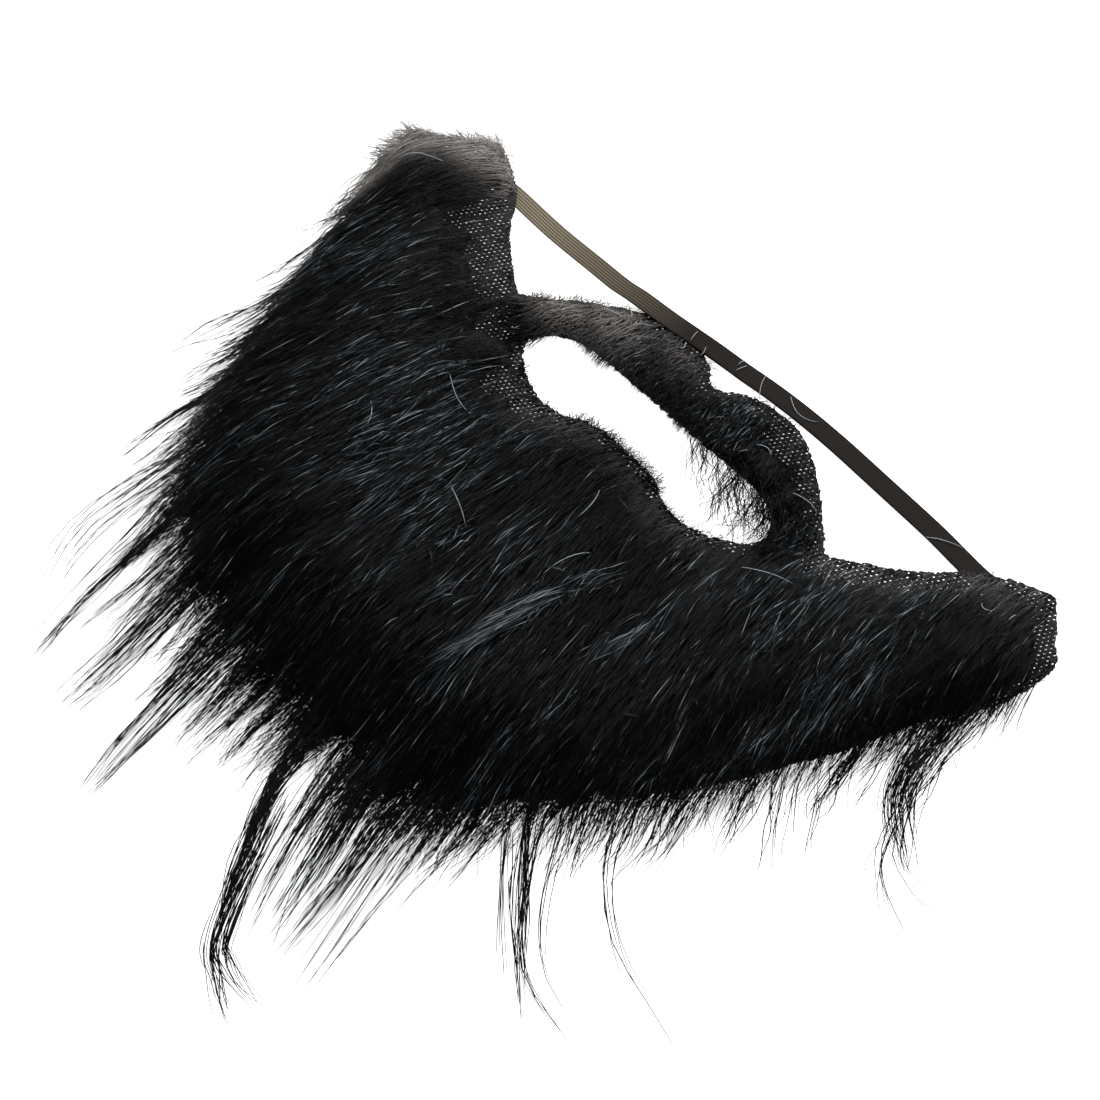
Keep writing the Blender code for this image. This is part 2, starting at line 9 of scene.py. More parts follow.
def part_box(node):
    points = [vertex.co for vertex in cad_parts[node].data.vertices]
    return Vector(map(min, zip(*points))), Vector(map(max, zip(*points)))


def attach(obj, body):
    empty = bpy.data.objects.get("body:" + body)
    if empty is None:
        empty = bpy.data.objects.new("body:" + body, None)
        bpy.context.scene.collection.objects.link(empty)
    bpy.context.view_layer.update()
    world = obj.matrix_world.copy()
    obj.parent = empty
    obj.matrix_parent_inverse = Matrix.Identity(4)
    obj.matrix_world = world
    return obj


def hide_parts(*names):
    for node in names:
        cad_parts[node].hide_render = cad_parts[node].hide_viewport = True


# A black costume beard lying fur side up: knitted net backing, dense underfur,
# separate fibres combed towards the chin, and a ribbed elastic band.
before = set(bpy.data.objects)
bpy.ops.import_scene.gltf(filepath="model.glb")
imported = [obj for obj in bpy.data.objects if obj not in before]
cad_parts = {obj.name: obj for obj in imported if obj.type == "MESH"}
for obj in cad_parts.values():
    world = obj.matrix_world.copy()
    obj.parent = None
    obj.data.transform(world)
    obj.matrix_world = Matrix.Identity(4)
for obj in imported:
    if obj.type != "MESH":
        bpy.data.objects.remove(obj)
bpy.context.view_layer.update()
mm = 0.001
halfSpan = 138 * mm               # from the middle of the beard to the end of a sideburn
clothFace = 1.15 * mm             # from the face side of the cloth up to its fur side
usualShare = 0.58                 # share of the scattered fibres that grow on plain fur
dice = np.random.default_rng(20)
triangleCount = {}


# camera: where the beard was looked at from
cameraSetup = {
    "lookAt": (0.01336, 0.0, 0.0),
    "distance": 0.741,
    "azimuth": 49.0,
    "elevation": 52.5,
    "lens": 85.1,
    "sensor": 36.0,
}


def placeCamera(setup):
    azimuth = math.radians(setup["azimuth"])
    elevation = math.radians(setup["elevation"])
    back = Vector((math.sin(azimuth) * math.cos(elevation),
                   -math.cos(azimuth) * math.cos(elevation), math.sin(elevation)))
    right = Vector((math.cos(azimuth), math.sin(azimuth), 0))
    turn = Matrix((right, back.cross(right), back)).transposed().to_4x4()
    turn.translation = Vector(setup["lookAt"]) + back * setup["distance"]
    lensData = bpy.data.cameras.new("studioCamera")
    lensData.sensor_width = setup["sensor"]
    lensData.lens = setup["lens"]
    lensData.clip_start = 0.01
    camera = bpy.data.objects.new("studioCamera", lensData)
    bpy.context.scene.collection.objects.link(camera)
    camera.matrix_world = turn
    bpy.context.scene.camera = camera


placeCamera(cameraSetup)


def hexToLinear(code):
    values = []
    for start in (1, 3, 5):
        share = int(code[start:start + 2], 16) / 255
        values.append(share / 12.92 if share <= 0.04045 else ((share + 0.055) / 1.055) ** 2.4)
    return (*values, 1.0)


def addNode(tree, kind, links=None, **settings):
    # Adds a shader node, sets its sockets and options, and links what feeds it.
    node = tree.nodes.new(kind)
    for name, value in settings.items():
        if hasattr(node, name):
            setattr(node, name, value)
        else:
            node.inputs[name.replace("_", " ")].default_value = value
    for socket, source in (links or {}).items():
        tree.links.new(source, node.inputs[socket])
    return node


def noiseSurface(tree, shader, vector, scale, detail, stops):
    # Colour and bump from one noise, for matt yarn and dense fur.
    noise = addNode(tree, "ShaderNodeTexNoise", {"Vector": vector}, Scale=scale, Detail=detail)
    colour = addNode(tree, "ShaderNodeValToRGB", {"Fac": noise.outputs["Fac"]})
    setRamp(colour, stops)
    bump = addNode(tree, "ShaderNodeBump", {"Height": noise.outputs["Fac"]},
                   Strength=1.0, Distance=0.0004)
    tree.links.new(colour.outputs["Color"], shader.inputs["Base Color"])
    tree.links.new(bump.outputs["Normal"], shader.inputs["Normal"])


def newMaterial(name):
    material = bpy.data.materials.new(name)
    material.use_nodes = True
    shader = material.node_tree.nodes["Principled BSDF"]
    return material, shader


def setRamp(node, stops):
    ramp = node.color_ramp
    while len(ramp.elements) < len(stops):
        ramp.elements.new(0.5)
    for element, (position, code) in zip(ramp.elements, stops):
        element.position = position
        element.color = hexToLinear(code)


# height maps: how high the built solids lie over each point of the floor
mapSetup = {"low": (-0.162, -0.176), "high": (0.190, 0.114), "step": 1.0 * mm}
mapShape = tuple(int(round((high - low) / mapSetup["step"])) + 1
                 for low, high in zip(mapSetup["low"], mapSetup["high"]))


def castMap(nodeName, fromBelow=False):
    # Height of a solid over a grid of floor points, and not-a-number where it isn't.
    tree = BVHTree.FromObject(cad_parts[nodeName], bpy.context.evaluated_depsgraph_get())
    direction = Vector((0, 0, 1 if fromBelow else -1))
    start = -0.1 if fromBelow else 0.1
    heights = np.full(mapShape, np.nan)
    for column in range(mapShape[0]):
        x = mapSetup["low"][0] + column * mapSetup["step"]
        for row in range(mapShape[1]):
            y = mapSetup["low"][1] + row * mapSetup["step"]
            hit = tree.ray_cast(Vector((x, y, start)), direction)[0]
            if hit is not None:
                heights[column, row] = hit.z
    return heights


def sampleMap(heights, x, y):
    # Value between the grid points, for whole arrays of places.
    u = np.clip((x - mapSetup["low"][0]) / mapSetup["step"], 0, mapShape[0] - 1.001)
    v = np.clip((y - mapSetup["low"][1]) / mapSetup["step"], 0, mapShape[1] - 1.001)
    i, j = u.astype(int), v.astype(int)
    fu, fv = u - i, v - j
    return (heights[i, j] * (1 - fu) * (1 - fv) + heights[i + 1, j] * fu * (1 - fv)
            + heights[i, j + 1] * (1 - fu) * fv + heights[i + 1, j + 1] * fu * fv)


def growMask(mask, reach):
    # Mask widened by one grid step at a time; a negative reach narrows it.
    pick = np.maximum if reach > 0 else np.minimum
    for turn in range(abs(reach)):
        mask = pick.reduce([mask, np.roll(mask, 1, 0), np.roll(mask, -1, 0),
                            np.roll(mask, 1, 1), np.roll(mask, -1, 1)])
    return mask


def blurMap(heights, reach):
    # Softens a map by averaging it over neighbours, several times each way.
    soft = heights.copy()
    for turn in range(reach):
        for axis in (0, 1):
            soft = (np.roll(soft, 1, axis) + 2 * soft + np.roll(soft, -1, axis)) / 4
    return soft


clothTop = castMap("backing_cloth")
clothUnder = castMap("backing_cloth", fromBelow=True)
beardTop = castMap("beard_pile")
lipTop = castMap("moustache_pile")
bandTop = castMap("elastic_strap")
onCloth = ~np.isnan(clothTop)
pileTop = np.fmax(beardTop, lipTop)
onPile = ~np.isnan(pileTop)
pileFlat = np.where(onPile, pileTop, np.where(onCloth, clothTop, 0.0))
pileSoft = blurMap(pileFlat, 6)
skinTop = blurMap(np.fmax(pileFlat, np.nan_to_num(bandTop)), 2)
clothMask = onCloth.astype(float)


def depthMap(mask, most):
    # Distance of each grid point from the outside of a mask, in millimetres up to a limit.
    depth = mask.copy()
    for step in range(most - 1):
        mask = growMask(mask, -1)
        depth += mask
    return depth


def stretchedNoise(x, y, along, across, seed, heading=6.0):
    # Smooth random value from 0 to 1 that is long in the direction of the fur.
    turn = math.radians(heading)
    u = (x * math.cos(turn) + y * math.sin(turn)) / across
    v = (-x * math.sin(turn) + y * math.cos(turn)) / along
    table = np.random.default_rng(seed).random((64, 64))
    i, j = np.floor(u).astype(int), np.floor(v).astype(int)
    fu, fv = u - i, v - j
    fu, fv = fu * fu * (3 - 2 * fu), fv * fv * (3 - 2 * fv)
    i, j, k, m = i % 64, j % 64, (i + 1) % 64, (j + 1) % 64
    return (table[i, j] * (1 - fu) * (1 - fv) + table[k, j] * fu * (1 - fv)
            + table[i, m] * (1 - fu) * fv + table[k, m] * fu * fv)


# lower limit of the thick fur, where it breaks up into the fringe: x and y in mm
thickEdge = [
    (-97, -200), (-91, -40), (-80, -52), (-70, -63), (-60, -71), (-45, -81), (-20, -88),
    (0, -92), (25, -94), (45, -89), (60, -80), (72, -65), (85, -48), (95, -33), (105, -12),
    (112, 9), (120, 27), (124, 42), (130, 40), (136, 20),
]
mapX = mapSetup["low"][0] + np.arange(mapShape[0])[:, None] * mapSetup["step"]
mapY = mapSetup["low"][1] + np.arange(mapShape[1])[None, :] * mapSetup["step"]
edgeX, edgeY = np.array(thickEdge, float).T * mm
edgeWave = 11 * mm               # how far the tongues of thick fur reach past one another
clothDepth = depthMap(clothMask, 24)
furMask = growMask(growMask((~np.isnan(beardTop)).astype(float), -7), 7)
tongue = stretchedNoise(mapX, mapY, 60 * mm, 3.4 * mm, 31) * 0.6 + 0.4 * stretchedNoise(
    mapX, mapY, 60 * mm, 9 * mm, 32)
furMask = furMask * (mapY > np.interp(mapX, edgeX, edgeY) + edgeWave * (0.45 - tongue))
furDepth = depthMap(furMask, 30)
furSoft = blurMap(furMask, 3)
print("height maps:", mapShape, "cloth area cm2", round(onCloth.sum() * mapSetup["step"] ** 2 * 1e4, 1))

# flat cloth height carried on past its edge, so that lookups near the edge stay true
clothLevel = np.where(onCloth, clothUnder, np.nan)
for spread in range(24):
    for axis in (0, 1):
        for shift in (1, -1):
            moved = np.roll(clothLevel, shift, axis)
            clothLevel = np.where(np.isnan(clothLevel), moved, clothLevel)
clothLevel = blurMap(np.nan_to_num(clothLevel), 2)


def clothRoom(x, y):
    # Height of the face side of the cloth.
    return sampleMap(clothLevel, x, y)


def upstreamCover(distance):
    # Where the cloth still goes on this far towards the nose, against the lie of the fur.
    steps = int(round(distance / mapSetup["step"]))
    cover = np.ones(mapShape)
    for step in range(0, steps + 1):
        cover = np.minimum(cover, np.roll(clothMask, -step, 1))
    return cover


# places where the pile is thinner or thicker: x, y, radius in mm, share of the fibres kept
pilePlaces = [
    (-97, 72, 13, 0.16),
    (-85, 62, 12, 0.16),
    (-76, 54, 9, 0.22),
    (-104, 62, 8, 0.35),
    (-62, 44, 10, 0.30),
    (-44, 30, 9, 0.35),
    (-31, 30, 9, 0.42),
    (70, 24, 7, 0.50),
    (86, 70, 10, 0.40),
    (31, 80, 13, 0.35),
    (45, 74, 9, 0.40),
    (0, 38, 17, 1.70),
    (34, 30, 12, 1.50),
    (-8, 20, 30, 1.20),
]


def keptShare(x, y):
    # Share of the fibres that grow in each place.
    share = np.full_like(x, usualShare)
    for spotX, spotY, radius, kept in pilePlaces:
        away = np.hypot(x - spotX * mm, y - spotY * mm) / (radius * mm)
        share = share * (kept + (1 - kept) * np.clip(away * 1.6 - 0.6, 0, 1))
    return share


keptShareMap = keptShare(mapX + 0 * mapY, mapY + 0 * mapX)


def spotDistance(x, y, spotX, spotY, wide, tall):
    # How far places lie from a spot, counted in its radii. Spot and radii are in mm.
    return np.hypot((x - spotX * mm) / (wide * mm), (y - spotY * mm) / (tall * mm))


def openEdges(cells):
    # Edges that only one cell of a flat mesh uses: the points where they start and end.
    starts, ends = cells.ravel(), np.roll(cells, -1, 1).ravel()
    count = cells.max() + 1
    rim = ~np.isin(starts * count + ends, ends * count + starts)
    return starts[rim], ends[rim]


# meshes from arrays
def meshPiece(name, points, faces, material, values=None):
    # Object from arrays of points and of faces with three or four corners each.
    mesh = bpy.data.meshes.new(name)
    mesh.vertices.add(len(points))
    mesh.vertices.foreach_set("co", np.asarray(points, np.float32).ravel())
    corners = np.concatenate([face.ravel() for face in faces])
    sizes = np.concatenate([np.full(len(face), face.shape[1]) for face in faces])
    mesh.loops.add(len(corners))
    mesh.loops.foreach_set("vertex_index", corners.astype(np.int32))
    mesh.polygons.add(len(sizes))
    starts = np.concatenate([[0], np.cumsum(sizes)[:-1]])
    mesh.polygons.foreach_set("loop_start", starts.astype(np.int32))
    mesh.update(calc_edges=True)
    mesh.validate()
    mesh.shade_smooth()
    for key, value in (values or {}).items():
        attribute = mesh.attributes.new(key, "FLOAT", "POINT")
        attribute.data.foreach_set("value", np.asarray(value, np.float32))
    mesh.materials.append(material)
    piece = bpy.data.objects.new(name, mesh)
    bpy.context.scene.collection.objects.link(piece)
    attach(piece, "root")
    triangles = int(sum((face.shape[1] - 2) * len(face) for face in faces))
    triangleCount[name] = triangles
    print("piece", name, triangles, "triangles")
    return piece


def tubeArrays(paths, radii, sides=3):
    # Closed round tubes along many paths at once, each coming to a point at its tip.
    count, rings = paths.shape[:2]
    along = np.gradient(paths, axis=1)
    along /= np.linalg.norm(along, axis=2, keepdims=True) + 1e-12
    side = np.cross(along, np.array((0.0, 0.0, 1.0)))
    side /= np.linalg.norm(side, axis=2, keepdims=True) + 1e-12
    lift = np.cross(side, along)
    body = rings - 1
    angles = 2 * math.pi * (np.arange(sides) + 0.25) / sides
    ring = (np.cos(angles)[None, None, :, None] * side[:, :body, None, :]
            + np.sin(angles)[None, None, :, None] * lift[:, :body, None, :])
    shell = paths[:, :body, None, :] + ring * radii[:, :body, None, None]
    perTube = body * sides + 1
    points = np.concatenate([shell.reshape(count, body * sides, 3), paths[:, -1:, :]], axis=1)
    base = (np.arange(count) * perTube)[:, None]
    k = np.arange(sides)
    n = (k + 1) % sides
    quads = []
    for step in range(body - 1):
        low, high = step * sides, (step + 1) * sides
        quads.append(np.stack([low + n, low + k, high + k, high + n], axis=1))
    quads = np.concatenate(quads)
    last = (body - 1) * sides
    tips = np.stack([last + n, last + k, np.full(sides, body * sides)], axis=1)
    caps = np.arange(sides)[None, :]
    faces = [
        (base[:, :, None] + quads[None]).reshape(-1, 4),
        (base[:, :, None] + tips[None]).reshape(-1, 3),
        (base[:, :, None] + caps[None]).reshape(-1, sides),
    ]
    return points.reshape(-1, 3), faces


# knitted net: black polyester warp knit, so holes in staggered rows between fuzzy yarn
netLook = {
    "pitch": 1.62 * mm,       # hole to hole along a row
    "row": 1.42 * mm,
    "hole": 0.40 * mm,        # half width of a hole
    "thickness": 0.42 * mm,
    "yarnRise": 0.10 * mm,    # how far the knots stand above the yarn round a hole
    "unevenness": 0.11 * mm,
    "noseBand": 9 * mm,       # from the edges towards the nose, where the holes stay open
    "endBand": 6,             # the same at the wearer's left end, in millimetres
    "endFrom": (130 * mm, 48 * mm),   # where that end starts
    "barePile": 0.36,         # share of fibres under which the net lies open too
    "rimWander": 0.35 * mm,   # raw cut edge, how far it strays from the pattern
    "yarn": "#050505",
    # grey specks painted in as highlights on the fuzzy yarn
    "yarnPaintedHighlight": "#3a3838",
    "filamentSpacing": 0.45 * mm,   # coarser than real filaments, so that it shows
}


def knitMaterial(look):
    # knitted polyester: matt fuzzy yarn, black with soft grey specks painted in as highlights where the
    # yarn catches the light
    material, shader = newMaterial("knittedPolyesterNet")
    tree = material.node_tree
    place = addNode(tree, "ShaderNodeTexCoord")
    noiseSurface(tree, shader, place.outputs["Object"], 0.5 / look["filamentSpacing"], 4.0,
                 [(0.35, look["yarn"]), (0.75, look["yarnPaintedHighlight"])])
    shader.inputs["Roughness"].default_value = 0.85
    shader.inputs["Sheen Weight"].default_value = 0.15
    return material


def toOutline(x, y, wander):
    # Moves points near the edge of the cloth onto a softly wandering cut line.
    soft = blurMap(clothMask, 3)
    probe = 1.2 * mm
    goal = 0.5 + dice.normal(0, 0.05, len(x))
    for step in range(6):
        value = sampleMap(soft, x, y)
        slopeX = (sampleMap(soft, x + probe, y) - sampleMap(soft, x - probe, y)) / (2 * probe)
        slopeY = (sampleMap(soft, x, y + probe) - sampleMap(soft, x, y - probe)) / (2 * probe)
        size = slopeX ** 2 + slopeY ** 2 + 400.0
        reach = np.clip((goal - value) / size, -2e-6, 2e-6)
        x, y = x + reach * slopeX, y + reach * slopeY
    return x + dice.normal(0, wander, len(x)) * 0.5, y + dice.normal(0, wander, len(x)) * 0.5


def backingNet(look):
    # Net with staggered holes over the whole cut of the cloth, closed on both faces.
    pitch, row, hole = look["pitch"], look["row"], look["hole"]
    low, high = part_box("backing_cloth")
    columns = int((high.x - low.x) / pitch) + 2
    rows = int((high.y - low.y) / row) + 2
    i, j = np.meshgrid(np.arange(columns), np.arange(rows), indexing="ij")
    i, j = i.ravel(), j.ravel()
    shift = j % 2
    centreX = low.x + (i + shift / 2) * pitch
    centreY = low.y + j * row
    inside = sampleMap(clothMask, centreX, centreY) > 0.62
    i, j, shift, centreX, centreY = (values[inside] for values in (i, j, shift, centreX, centreY))
    width = 2 * columns + 3

    def corner(k, line):
        return line * width + k

    left = 2 * i + shift
    outer = np.stack([corner(left, j), corner(left + 1, j), corner(left + 2, j),
                      corner(left + 2, j + 1), corner(left + 1, j + 1), corner(left, j + 1)], 1)
    used, outer = np.unique(outer, return_inverse=True)
    outer = outer.reshape(-1, 6)
    cornerX = low.x + (used % width - 1) * pitch / 2
    cornerY = low.y + (used // width - 0.5) * row
    shake = dice.normal(0, look["unevenness"], (len(used), 2))
    cornerX, cornerY = cornerX + shake[:, 0], cornerY + shake[:, 1]
    s, e = openEdges(outer)
    onRim = np.zeros(len(used), bool)
    onRim[s] = True
    cornerX[onRim], cornerY[onRim] = toOutline(cornerX[onRim], cornerY[onRim], look["rimWander"])
    byEdge = onRim[outer].any(1) & (dice.random(len(outer)) < 0.3)
    bare = (upstreamCover(look["noseBand"]) < 0.5) | (keptShareMap < look["barePile"])
    endX, endY = look["endFrom"]
    bare = bare | ((clothDepth < look["endBand"]) & (mapX > endX) & (mapY > endY))
    isOpen = (sampleMap(bare.astype(float), centreX, centreY) > 0.5) & ~byEdge
    sizes = hole * dice.uniform(0.7, 1.2, isOpen.sum())
    offsets = np.array([(0, -1), (1, 0), (0, 1), (-1, 0)])
    holeX = centreX[isOpen, None] + offsets[None, :, 0] * sizes[:, None]
    holeY = centreY[isOpen, None] + offsets[None, :, 1] * sizes[:, None]
    planX = np.concatenate([cornerX, holeX.ravel()])
    planY = np.concatenate([cornerY, holeY.ravel()])
    rise = np.concatenate([np.full(len(cornerX), look["yarnRise"]), np.zeros(holeX.size)])
    middle = clothRoom(planX, planY) + 0.6 * mm
    half = look["thickness"] / 2
    total = len(planX)
    points = np.concatenate([np.stack([planX, planY, middle + half + rise], 1),
                             np.stack([planX, planY, middle - half - rise * 0.5], 1)])
    a = outer[isOpen].T
    b = (len(used) + np.arange(isOpen.sum() * 4).reshape(-1, 4)).T
    ring = [(a[0], a[1], b[0]), (a[1], a[2], b[0]), (a[2], b[1], b[0]), (a[2], a[3], b[1]),
            (a[3], b[2], b[1]), (a[3], a[4], b[2]), (a[4], a[5], b[2]), (a[5], b[3], b[2]),
            (a[5], a[0], b[3]), (a[0], b[0], b[3])]
    top = np.concatenate([np.stack(corners, 1) for corners in ring])
    c = outer[~isOpen].T
    closed = np.concatenate([np.stack([c[0], c[1], c[4], c[5]], 1),
                             np.stack([c[1], c[2], c[3], c[4]], 1)])
    walls = np.concatenate([np.stack([b[k], b[(k + 1) % 4], b[(k + 1) % 4] + total, b[k] + total], 1)
                            for k in range(4)])
    border = np.stack([e, s, s + total, e + total], 1)
    faces = [top, top[:, ::-1] + total, closed, closed[:, ::-1] + total, walls, border]
    return meshPiece("backingNet", points, faces, knitMaterial(look))


net = backingNet(netLook)
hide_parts("backing_cloth")


# fibres: one recipe for all the hair, acrylic long pile
fibreLook = {
    "dark": "#030303",
    "middle": "#101316",
    # light: the cool grey of the painted highlights and sheen
    "light": "#555f67",
    "pale": "#c3ced4",
    "paleLit": "#ddd5cf",       # pale warm grey painted on as backlight, light through the fibres at the end on the wearer's right
    "rough": 0.36,
    "gloss": 0.20,
}

# places where the fibres are painted pale and warm as painted backlight, light shining through them from
# behind, which is a guess at the cause:
# x, y, radii in mm, strength
paleLitPlaces = [
    (-133, 52, 6, 12, 0.60),
    (-138, 68, 7, 12, 0.90),
    (-134, 82, 10, 10, 1.00),
    (-130, 72, 8, 9, 0.65),
    (-125, 92, 13, 10, 1.00),
    (-111, 88, 11, 6, 0.95),
    (-99, 83, 7, 4, 0.80),
    (-121, 84, 15, 10, 0.95),
    (-52, 62, 12, 7, 0.58),
    (-37, 70, 12, 8, 0.58),
    (-14, 76, 12, 6, 0.25),
]


def fibreMaterial(look):
    # acrylic fibre, extruded and dyed black: glossy thread; the thin cool streaks are painted highlights,
    # carried by the tone attribute through the colour ramp
    material, shader = newMaterial("acrylicFibreBlack")
    tree = material.node_tree
    tone = addNode(tree, "ShaderNodeAttribute", attribute_name="tone")
    colour = addNode(tree, "ShaderNodeValToRGB", {"Fac": tone.outputs["Fac"]})
    setRamp(colour, [(0.0, look["dark"]), (0.4, look["middle"]), (0.7, look["light"]),
                     (1.0, look["pale"])])
    # painted backlight: the colour is mixed towards pale warm grey where the fibres are painted as lit
    # from behind
    paleLitShare = addNode(tree, "ShaderNodeAttribute", attribute_name="paleLitShare")
    mix = addNode(tree, "ShaderNodeMix", data_type="RGBA")
    mix.inputs[7].default_value = hexToLinear(look["paleLit"])
    tree.links.new(paleLitShare.outputs["Fac"], mix.inputs[0])
    tree.links.new(colour.outputs["Color"], mix.inputs[6])
    tree.links.new(mix.outputs[2], shader.inputs["Base Color"])
    shader.inputs["Roughness"].default_value = look["rough"]
    shader.inputs["IOR"].default_value = 1.52
    shader.inputs["Specular IOR Level"].default_value = look["gloss"]
    return material


fibre = fibreMaterial(fibreLook)


def headingStep(angle, step):
    # Way along the floor from the first point of a fibre, turning from ring to ring.
    start = np.zeros((len(angle), 1))
    x = np.concatenate([start, np.cumsum(np.sin(angle[:, :-1]) * step, 1)], 1)
    y = np.concatenate([start, np.cumsum(-np.cos(angle[:, :-1]) * step, 1)], 1)
    return x, y


def settle(x, y, layer, lift, stiff=False, sunk=0.0):
    # Heights that let fibres leave the cloth, lie in the pile and sink softly past it.
    t = np.linspace(0, 1, x.shape[1])[None]
    onNet = sampleMap(clothMask, x, y) > 0.4
    ground = np.where(onNet, clothRoom(x, y) + 1.0 * mm, 0.15 * mm)
    if stiff:
        return ground[:, :1] + lift[:, None] * t ** 0.8
    out = np.minimum(1.0, sunk + t / 0.25)
    z = ground + np.maximum(sampleMap(pileSoft, x, y) - ground, 0) * layer[:, None] * out
    z = z + lift[:, None] * np.sin(math.pi * np.minimum(t * 0.9, 1.0))
    run = np.hypot(np.diff(x, axis=1), np.diff(y, axis=1))
    for ring in range(1, x.shape[1]):
        z[:, ring] = np.maximum(z[:, ring], z[:, ring - 1] - 0.5 * run[:, ring - 1])
    z[:, 1:-1] = (z[:, :-2] + 2 * z[:, 1:-1] + z[:, 2:]) / 4
    return np.maximum(z, ground)


def growHairs(roots, heading, sweep, length, layer, lift, rings,
              wave=0.0, reach=None, stiff=False, sunk=0.0):
    # Paths of many fibres that lie along the fur, over what is below them.
    count = len(roots)
    t = np.linspace(0, 1, rings)
    angle = np.radians(heading[:, None] + sweep[:, None] * t[None])
    phase = dice.uniform(0, 2 * math.pi, (count, 1))
    angle = angle + wave * np.sin(2 * math.pi * t[None] * 1.3 + phase)
    goX, goY = headingStep(angle, (length / (rings - 1))[:, None])
    x, y = roots[:, :1] + goX, roots[:, 1:] + goY
    if reach is not None:
        pull = reach["strength"][:, None] * t[None] ** 1.4
        x = x + (reach["x"] - roots[:, 0])[:, None] * pull
        y = y + (reach["y"] - roots[:, 1])[:, None] * pull
    return np.stack([x, y, settle(x, y, layer, lift, stiff, sunk)], 2)


def cutAtEdge(roots, heading, length, slack):
    # Lengths cut so that most fibres end near the edge of the thick fur.
    t = np.linspace(0, 1, 15)
    angle = np.radians(heading)[:, None]
    x = roots[:, :1] + np.sin(angle) * length[:, None] * t[None]
    y = roots[:, 1:] - np.cos(angle) * length[:, None] * t[None]
    inside = sampleMap(furSoft, x, y) > 0.5
    leaves = np.where(inside.all(1), 1.0, t[np.argmin(inside, axis=1)])
    return length * np.clip(leaves + slack, 0.2, 1.0)


def glint(count, rings, base, peak, spread):
    # tone along each fibre: dark, with one stretch painted lighter as a painted highlight where it would
    # catch the light
    t = np.linspace(0, 1, rings)[None]
    centre = dice.uniform(0.1, 0.95, (count, 1))
    width = dice.uniform(*spread, (count, 1))
    return base[:, None] + (peak - base)[:, None] * np.exp(-((t - centre) / width) ** 2)


def perPoint(values, sides=3):
    # values given ring by ring, handed on to the points of the tubes
    return np.concatenate([np.repeat(values[:, :-1], sides, axis=1), values[:, -1:]], 1).ravel()


def hairPiece(name, paths, thickness, tone, fine=0.72):
    # one piece from many fibres, thick in the middle and fine at the tip
    rings = paths.shape[1]
    t = np.linspace(0, 1, rings)
    taper = np.minimum(1.0, 0.75 + 0.8 * t) * (1 - fine * t ** 3)
    radii = thickness[:, None] / 2 * taper[None]
    points, faces = tubeArrays(paths, radii)
    tone = np.broadcast_to(tone if tone.ndim == 2 else tone[:, None], radii.shape)
    # painted backlight: share of the pale warm colour near the listed places
    paleLitShare = np.zeros(radii.shape)
    for *spot, strength in paleLitPlaces:
        away = spotDistance(paths[..., 0], paths[..., 1], *spot)
        paleLitShare = np.maximum(paleLitShare, strength * np.exp(-away ** 2))
    paleLitShare = paleLitShare * (0.5 + 0.7 * dice.random((len(paths), 1)))
    values = {"tone": perPoint(tone), "paleLitShare": perPoint(np.clip(paleLitShare, 0, 1))}
    return meshPiece(name, points, faces, fibre, values)


def scatterRoots(count, keep):
    # Even random places, kept where the rule says so.
    low, high = np.array(mapSetup["low"]), np.array(mapSetup["high"])
    places = np.empty((0, 2))
    while len(places) < count:
        tries = dice.uniform(low, high, (count, 2))
        places = np.concatenate([places, tries[keep(tries[:, 0], tries[:, 1])]])
    return places[:count]


def clumpCentres(roots, spacing, jitter=0.4):
    # The tuft that each fibre belongs to, on a shaken grid.
    cell = np.floor(roots / spacing).astype(int)
    table = np.random.default_rng(3).uniform(-jitter, jitter, (97, 89, 3))
    shake = table[cell[:, 0] % 97, cell[:, 1] % 89]
    return (cell + 0.5 + shake[:, :2]) * spacing, shake[:, 2] / jitter


# underfur: the short dense fibres that stop the light between the long ones
underfurLook = {
    "grid": 1.5 * mm,
    "below": 2.4 * mm,        # how far it stays under the top of the pile
    "bareEdge": 8.0 * mm,     # cloth left clear of it along the edges towards the nose
    "fillRun": 20.0 * mm,     # distance over which it gets its full depth
    "ridge": 1.5 * mm,
    "ragged": 3,              # how far the tongues of its lower edge differ, in millimetres
    "dark": "#020203",
    "light": "#0d0f12",
    "strandWidth": 0.35 * mm,   # coarser than real strands, so that it shows
    "strandLength": 9.0 * mm,
    "overhang": 43,           # how far it carries on past the cloth, in grid steps
}


def underfurMaterial(look):
    # crimped acrylic underfur, matt and nearly black, the eye sees fine dark strands
    material, shader = newMaterial("acrylicUnderfur")
    tree = material.node_tree
    place = addNode(tree, "ShaderNodeTexCoord")
    scale = addNode(tree, "ShaderNodeMapping", {"Vector": place.outputs["Object"]})
    scale.inputs["Scale"].default_value = (1 / look["strandWidth"], 1 / look["strandLength"],
                                           1 / look["strandWidth"])
    noiseSurface(tree, shader, scale.outputs["Vector"], 1.0, 3.0,
                 [(0.4, look["dark"]), (0.75, look["light"])])
    shader.inputs["Roughness"].default_value = 0.7
    return material


